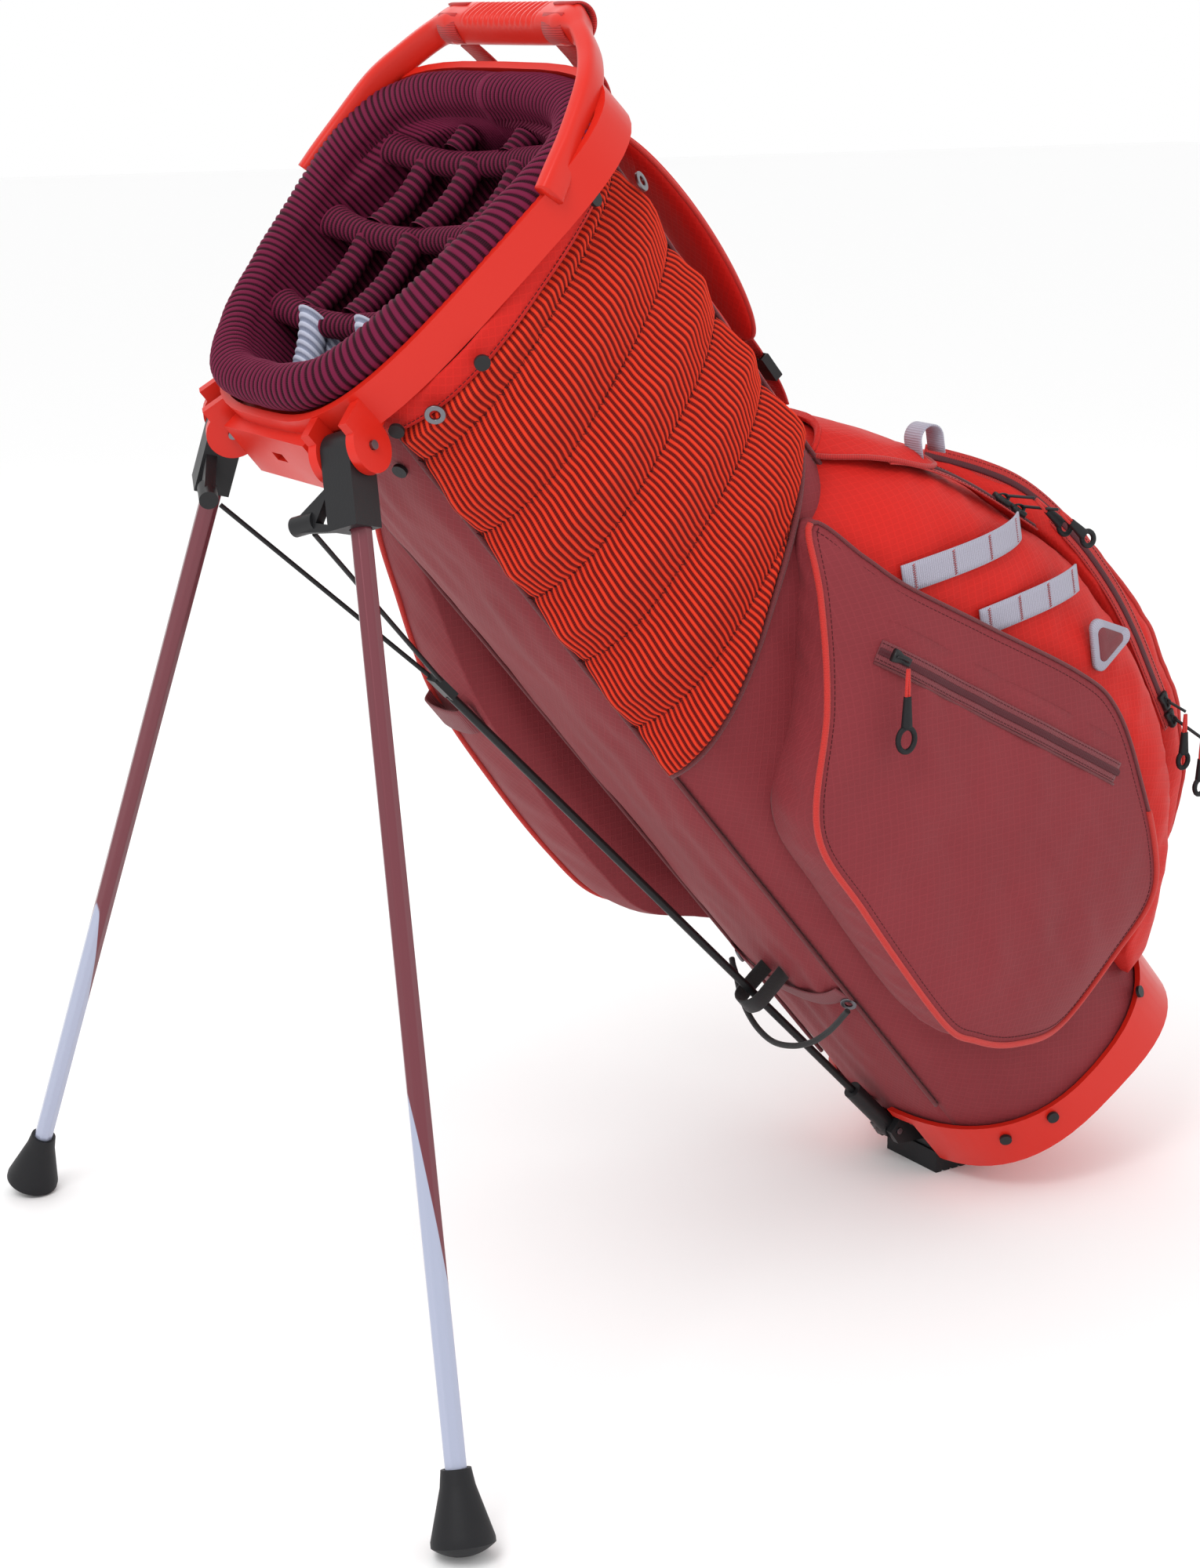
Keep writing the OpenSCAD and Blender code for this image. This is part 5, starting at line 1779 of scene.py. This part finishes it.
    @staticmethod
    def slider(name: str, at: Points, d: Points, out: Points, body: str, node: str, long: float,
               eye: Points | None = None) -> None:
        """A zip slider: a waisted body with a bridge over it that holds the pull.

        Args:
            name: its name.
            at: the middle of its body.
            d: unit direction along the zip.
            out: unit direction away from the cloth.
            body: what it rides on.
            node: the CAD node it replaces, or nothing.
            long: its length.
            eye: where the pull hangs, if that is further out.
        """
        s = np.linspace(-0.5, 0.5, 13)
        wide = 3.0 + 1.7 * smooth_step(0.5 - s) - 0.7 * np.exp(-(s / 0.16) ** 2)
        parts = [sweep(name, at + d * (s * long)[:, None], wide, 2.2, out, Stuff.BLACK_NYLON, 3.4, 16)]
        arc = np.linspace(0.15, math.pi - 0.15, 15)
        bridge = at + 0.36 * long * np.cos(arc)[:, None] * d + (1.6 + 2.6 * np.sin(arc))[:, None] * out
        parts.append(sweep(name + "_bridge", bridge, 1.5, 0.7, (0.3, 0.2, 0.93), Stuff.BLACK_NYLON, 3.0, 10))
        if eye is not None:
            parts.append(sweep(name + "_eye", along(at + 3.6 * out, eye, 8), 1.2, 0.9, (0.1, 0.2, 0.97),
                               Stuff.BLACK_NYLON, 3.0, 10))
        settle(join(name, parts), body, *((node,) if node else ()), slot="black_plastic")


@dataclass
class Trims:
    """The ball pocket's lid and the small sewn-on pieces."""

    def build(self) -> None:
        """Makes every trim."""
        self.lid()
        self.lash()
        self.badge()
        self.tab()
        self.loops()
        self.bungee()

    def lid(self) -> None:
        """The crowned lid over the pocket's top and near shoulder, with piping round its free edge."""
        rows, cols = 64, 90
        w = np.linspace(575.0, 500.0, rows)
        left = w - w[-1]
        corner = 26.0
        draw = corner * (1 - np.sqrt(np.clip(1 - np.clip(1 - left / corner, 0, 1) ** 2, 0, 1)))
        near = ((121.0 - draw) ** -7.0 + (table(w, BALL_SIDE) * 0.99) ** -7.0) ** (-1 / 7.0)
        far = np.minimum(62.0 - draw, table(w, BALL_SIDE) * 0.97)
        v = np.linspace(0, 1, cols)[None]
        y = -near[:, None] * (1 - v) + far[:, None] * v
        here = np.broadcast_to(w[:, None], y.shape)
        flat = np.stack([np.maximum(ball_face(y, here), 243.0 - 0.35 * np.abs(y)), y, here], axis=-1)
        out = np.cross(np.gradient(flat, axis=1), np.gradient(flat, axis=0))
        out /= np.maximum(np.linalg.norm(out, axis=-1), 1e-6)[..., None]
        out *= np.where(np.median(out[..., 0]) < 0, -1.0, 1.0)
        edge = np.minimum(np.minimum(v, 1 - v) * (near + far)[:, None], np.minimum(left[:, None], 99))
        rise = 2.6 + 2.2 * smooth_step(edge / 16.0) + 0.7 * folds(flat, (60, 60, 60),
                                                                  77) * smooth_step(edge / 12)
        top = flat + out * rise[..., None]
        under = flat + out * 0.6
        ring = np.concatenate([top, under[:, ::-1]], axis=1)
        made = skin("ball_lid", ring, Stuff.RED_CLOTH, wrap_cols=True, caps=True)
        settle(made, "pocket_flap", "pocket_flap", slot="red_fabric")
        hem = flat + out * 1.9
        rim = np.concatenate([hem[:, 0], hem[-1, 1:-1], hem[::-1, -1]])
        keep = np.concatenate([[True], np.linalg.norm(np.diff(rim, axis=0), axis=1) > 0.5])
        settle(sweep("ball_lid_piping", rim[keep], 1.9, 1.9, (0.35, 0.05, 0.93), Stuff.RED_WEBBING, sides=10),
               "pocket_flap", slot="red_fabric")

    def lash(self) -> None:
        """Two grey lash straps on the near side, with bar tacks at their ends."""
        for number, (a, b) in enumerate((((189, 490), (292, 434)), ((216, 420), (302, 374)))):
            line = along(a, b, 40)
            y = -(ball_flank(line[:, 0], line[:, 1]) - 0.4)
            path = np.stack([line[:, 0], y, line[:, 1]], axis=1)
            d = np.array([b[0] - a[0], 0.0, b[1] - a[1]])
            d /= np.linalg.norm(d)
            across = np.cross(np.array([0.0, -1.0, 0.0]), d)
            made = ribbon(f"lash_strap_{number + 1}", path, across, 10.0, 1.6, Stuff.GREY_WEBBING)
            settle(made, "bag", *(("lash_strips",) if number == 0 else ()), slot="grey_webbing")
            for end, spot in (("a", 3), ("b", 14), ("c", 25), ("d", 36)):
                bar = along(path[spot] - 8.5 * across, path[spot] + 8.5 * across, 12) + np.array([0, -1.8, 0])
                settle(stitches(f"lash_tack_{number + 1}_{end}", bar, np.array([0, -1.0, 0]),
                                Stuff.PIPING_RED, zigzag=1.0,
                                pitch=0.8, radius=0.35), "bag", slot="red_fabric")

    def badge(self) -> None:
        """A plain three-sided trim: a grey rim round a red centre, with nothing on it."""
        def outline(reach: float, soft: float) -> Points:
            """A triangle with rounded corners.

            Args:
                reach: from its middle to its corners' centres.
                soft: the corners' radius.

            Returns:
                Array of (36, 2), as X and W.
            """
            k = np.arange(3)[:, None]
            j = np.linspace(-60, 60, 12)[None]
            a = np.radians(90 + 120 * k)
            b = np.radians(90 + 120 * k + j)
            x = reach * np.cos(a) + soft * np.cos(b)
            w = reach * np.sin(a) + soft * np.sin(b)
            return np.stack([x.ravel(), w.ravel()], axis=1)
        centre = np.array([288.0, 325.0])
        for name, reach, soft, low, high, stuff in (("badge_rim", 14.5, 6.5, -148.6, -152.4,
                                                     Stuff.GREY_WEBBING),
                                                    ("badge_middle", 9.6, 4.2, -151.0, -153.1,
                                                     Stuff.MAROON_WEBBING)):
            rings = []
            for y, shrink in ((low, 1.0), (high + 0.6, 1.0), (high, 0.94), (high, 0.5), (high, 0.02)):
                edge = centre + outline(reach, soft) * shrink
                rings.append(np.stack([edge[:, 0], np.full(len(edge), y), edge[:, 1]], axis=1))
            made = skin(name, np.array(rings), stuff, wrap_cols=True, caps=True)
            settle(made, "bag", *(("badge",) if name == "badge_rim" else ()), slot="grey_webbing")

    def tab(self) -> None:
        """A grey webbing loop standing off the top of the ball pocket."""
        a = np.radians(np.linspace(0, 180, 26))
        flat = np.vstack([[(9.0, -12.0), (9.0, -6.0)], np.stack([9 * np.cos(a), 9 * np.sin(a)], axis=1),
                          [(-9.0, -6.0), (-9.0, -12.0)]])
        c, s = math.cos(math.radians(30)), math.sin(math.radians(30))
        path = np.stack([285 + flat[:, 0] * c + flat[:, 1] * s, np.full(len(flat), -98.0),
                         520 - flat[:, 0] * s + flat[:, 1] * c], axis=1)
        settle(ribbon("pocket_tab", path, (0, -1, 0), 9.0, 1.3, Stuff.GREY_WEBBING), "bag", "tab_loop",
               slot="grey_webbing")

    def loops(self) -> None:
        """The loop on the long far pocket, and the keeper round the push rod."""
        strap = spline([(-23, 113, 510), (-31, 117, 510), (-33.5, 128, 510), (-34, 140, 510),
                        (-33.5, 152, 510), (-31, 163, 510), (-23, 167, 510)], 50)
        settle(ribbon("glove_loop", strap, (0, 0, -1), 12.0, 1.4, Stuff.MAROON_WEBBING), "bag", "loop_strap",
               slot="maroon_fabric")
        keeper = spline([(-6, 11, 243), (-22, 11.5, 243), (-36, 11, 243), (-42, 6, 243), (-43.5, 0, 243),
                         (-42, -6, 243), (-36, -11, 243), (-22, -11.5, 243), (-6, -11, 243)], 60)
        settle(ribbon("rod_keeper_loop", keeper, (0, 0, -1), 7.0, 1.4, Stuff.CORD_BLACK), "bag", "rod_keeper",
               slot="black_plastic")

    def bungee(self) -> None:
        """The elastic cord that pulls the push rod home, held by both its eyelets."""
        route = [(-6, -71, 224), (-10, -66, 220), (-15, -60, 215), (-22, -50, 208), (-31, -37, 202),
                 (-39, -20, 199),
                 (-43, 0, 199), (-40, 20, 202), (-33, 37, 208), (-24, 50, 214), (-15, 60, 219),
                 (-10, 66, 223), (-6, 71, 224)]
        made = sweep("bungee_cord", spline(route, 160), 2.3, 2.3, (0.05, 0.05, 1), Stuff.CORD_BLACK, sides=12)
        settle(made, "bag", "bungee", slot="cord")


@dataclass
class HardParts:
    """The moulded, metal and rubber parts, shown as they are designed, with softened edges."""

    edge_mm: float = 0.9
    finishes: dict[str, Stuff] = field(default_factory=lambda: {
        "moulded_plastic": Stuff.MOULDED_RED, "black_plastic": Stuff.BLACK_NYLON, "rubber": Stuff.RUBBER,
        "steel": Stuff.STEEL, "wire": Stuff.WIRE, "red_fabric": Stuff.RED_CLOTH,
        "maroon_fabric": Stuff.MAROON_CLOTH,
        "ribbed_knit": Stuff.PLUM_RIBS, "red_ribbed_knit": Stuff.RED_RIBS, "grey_webbing": Stuff.GREY_WEBBING,
        "cord": Stuff.CORD_BLACK})
    edges: dict[str, float] = field(default_factory=lambda: {
        "top_collar": 1.6, "base_cup": 1.8, "rivets": 0.5, "eyelets": 0.5, "leg_screws": 0.7,
        "foot_pad": 1.2})

    def build(self) -> None:
        """Dresses every CAD part that is still shown."""
        slots = self.slots()
        for name, obj in frame["nodes"].items():
            if obj.hide_render:
                continue
            finish = self.tube_finish(name, obj) if name.startswith("leg_tube") else None
            stuff = self.finishes.get(slots.get(name, ""), Stuff.BLACK_NYLON)
            self.dress(obj, (finish or stuff.value).material(), self.edges.get(name, self.edge_mm))

    @staticmethod
    def slots() -> dict[str, str]:
        """Returns:
            The material slot of every CAD part.
        """
        return {part["node"]: part["material_slot"] for part in frame["record"]["subparts"]}

    @staticmethod
    def tube_finish(name: str, obj: bpy.types.Object) -> TwoToneTube:
        """The two-tone coating of one leg, laid out from its pivot.

        Args:
            name: the leg tube's name.
            obj: the leg tube.

        Returns:
            The finish.
        """
        co = np.zeros(len(obj.data.vertices) * 3)
        obj.data.vertices.foreach_get("co", co)
        co = co.reshape(-1, 3)
        side = 1.0 if co[:, 1].mean() > 0 else -1.0
        pivot = lean_points(np.array([-30.0, side * 83.0, 815.0]))
        far = np.linalg.norm(co - pivot, axis=1)
        foot = co[far > far.max() - 0.01].mean(axis=0)
        down = foot - pivot
        length = float(np.linalg.norm(down))
        down /= length
        across = np.cross(down, np.array([0.0, 0.0, 1.0]))
        across /= np.linalg.norm(across)
        across = across * -side
        return TwoToneTube(f"{name}_coating", "#6B2A35", "#A8AEC4", tuple(pivot), tuple(down), tuple(across),
                           0.72 * length)

    @staticmethod
    def dress(obj: bpy.types.Object, material: bpy.types.Material, edge_mm: float) -> None:
        """Gives a CAD part its finish and softens its edges.

        Args:
            obj: the part.
            material: its finish.
            edge_mm: the width of its softened edges.
        """
        mesh = obj.data
        mesh.materials.clear()
        mesh.materials.append(material)
        mesh.polygons.foreach_set("material_index", [0] * len(mesh.polygons))
        mesh.polygons.foreach_set("use_smooth", [True] * len(mesh.polygons))
        held = mesh.attributes.get("custom_normal")
        if held is not None:
            mesh.attributes.remove(held)
        weld = obj.modifiers.new("weld", "WELD")
        weld.merge_threshold = 0.00002
        bevel = obj.modifiers.new("edges", "BEVEL")
        bevel.width = edge_mm / 1000.0
        bevel.segments = 3
        bevel.limit_method = "ANGLE"
        bevel.angle_limit = math.radians(32)
        bevel.harden_normals = True
        bevel.use_clamp_overlap = True


@dataclass
class Studio:
    """A pale seamless floor, soft lights and the camera."""

    def build(self, ground: float) -> None:
        """Makes the studio.

        Args:
            ground: height of the floor in metres.
        """
        size = 14.0
        v = [(-size, -size, ground), (size, -size, ground), (size, size, ground), (-size, size, ground)]
        mesh = bpy.data.meshes.new("studio_floor")
        mesh.from_pydata(v, [], [(0, 1, 2, 3)])
        paper = bpy.data.materials.new("studio_paper")
        paper.use_nodes = True
        shader = paper.node_tree.nodes["Principled BSDF"]
        shader.inputs["Base Color"].default_value = linear("#FCFCFC")
        shader.inputs["Roughness"].default_value = 0.8
        shader.inputs["Specular IOR Level"].default_value = 0.2
        mesh.materials.append(paper)
        floor = bpy.data.objects.new("studio_floor", mesh)
        bpy.context.scene.collection.objects.link(floor)
        floor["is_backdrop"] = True
        world = bpy.data.worlds.new("studio_world")
        world.use_nodes = True
        sky = world.node_tree.nodes["Background"]
        sky.inputs["Color"].default_value = (1.0, 1.0, 1.0, 1.0)
        sky.inputs["Strength"].default_value = 1.0
        bpy.context.scene.world = world
        self.light("key_light", (-1.9, -1.0, 2.4), 1.1, 26.0)
        self.light("fill_light", (1.8, -1.9, 1.5), 2.0, 4.0)
        self.light("rim_light", (0.4, 2.2, 2.2), 1.6, 8.0)
        self.camera()
        view = bpy.context.scene.view_settings
        view.view_transform = "Standard"
        view.look = "None"
        view.exposure = 0.0

    @staticmethod
    def light(name: str, at: tuple[float, float, float], size: float, watts: float) -> None:
        """A soft square light that looks at the bag.

        Args:
            name: its name.
            at: where it hangs, in metres.
            size: its side in metres.
            watts: its power.
        """
        lamp = bpy.data.lights.new(name, "AREA")
        lamp.shape = "SQUARE"
        lamp.size = size
        lamp.energy = watts
        made = bpy.data.objects.new(name, lamp)
        made.location = at
        to = np.array([-0.3, 0.0, 0.4]) - np.array(at)
        yaw = math.atan2(to[1], to[0]) - math.pi / 2
        pitch = math.atan2(to[2], math.hypot(to[0], to[1])) + math.pi / 2
        made.rotation_euler = (pitch, 0.0, yaw)
        bpy.context.scene.collection.objects.link(made)
        made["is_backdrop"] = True

    @staticmethod
    def camera() -> None:
        """The camera, a little above the bag and in front of it to the left."""
        lens = bpy.data.cameras.new("camera")
        lens.sensor_fit = "VERTICAL"
        lens.sensor_height = 36.0
        lens.lens = 65.4
        made = bpy.data.objects.new("camera", lens)
        made.location = (-1.359, -1.592, 0.855)
        made.rotation_euler = (math.radians(75.01), 0.0, math.radians(-33.26))
        bpy.context.scene.collection.objects.link(made)
        bpy.context.scene.camera = made


NEAR_POCKET = SidePocket(
    name="near_pocket", side=-1, middle=(132.0, 312.0), out=NEAR_OUT, node="near_pocket", back_y=104.0,
    outline=[(168, 560), (136, 525), (88, 474), (29, 418), (19, 346), (15, 230), (27, 190), (52, 152),
             (100, 112),
             (160, 120), (212, 140), (246, 234), (259, 292), (250, 336), (214, 420), (186, 486), (177, 522)],
    piped=0.66)
FAR_POCKET = SidePocket(
    name="far_pocket", side=1, middle=(95.0, 400.0), out=FAR_OUT, node="far_pocket", back_y=104.0, seed=41,
    outline=[(165, 738), (118, 738), (62, 712), (24, 662), (2, 600), (-21, 520), (-30, 430), (-33, 350),
             (-27, 292),
             (6, 244), (55, 182), (92, 140), (128, 108), (180, 112), (214, 140), (236, 180), (256, 240),
             (262, 300), (236, 400), (205, 480), (188, 560), (178, 660)])


def main() -> None:
    """Builds the bag in order, then the studio."""
    low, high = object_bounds()
    steps = [("panels", BodyPanels()), ("hip pad", HipPad()), ("mouth", MouthPad()), ("dividers", Dividers()),
             ("handle", Handle()), ("shoulder strap", ShoulderStrap()), ("near pocket", NEAR_POCKET),
             ("far pocket", FAR_POCKET), ("back pockets", BackPockets()), ("zips", Zips(NEAR_POCKET)),
             ("trims", Trims()), ("hard parts", HardParts())]
    for word, part in steps:
        part.build()
        log.info("built the %s", word)
    Studio().build(low.z)
    low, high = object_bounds()


if __name__ == "__main__":
    logging.basicConfig(level=logging.INFO)
    main()
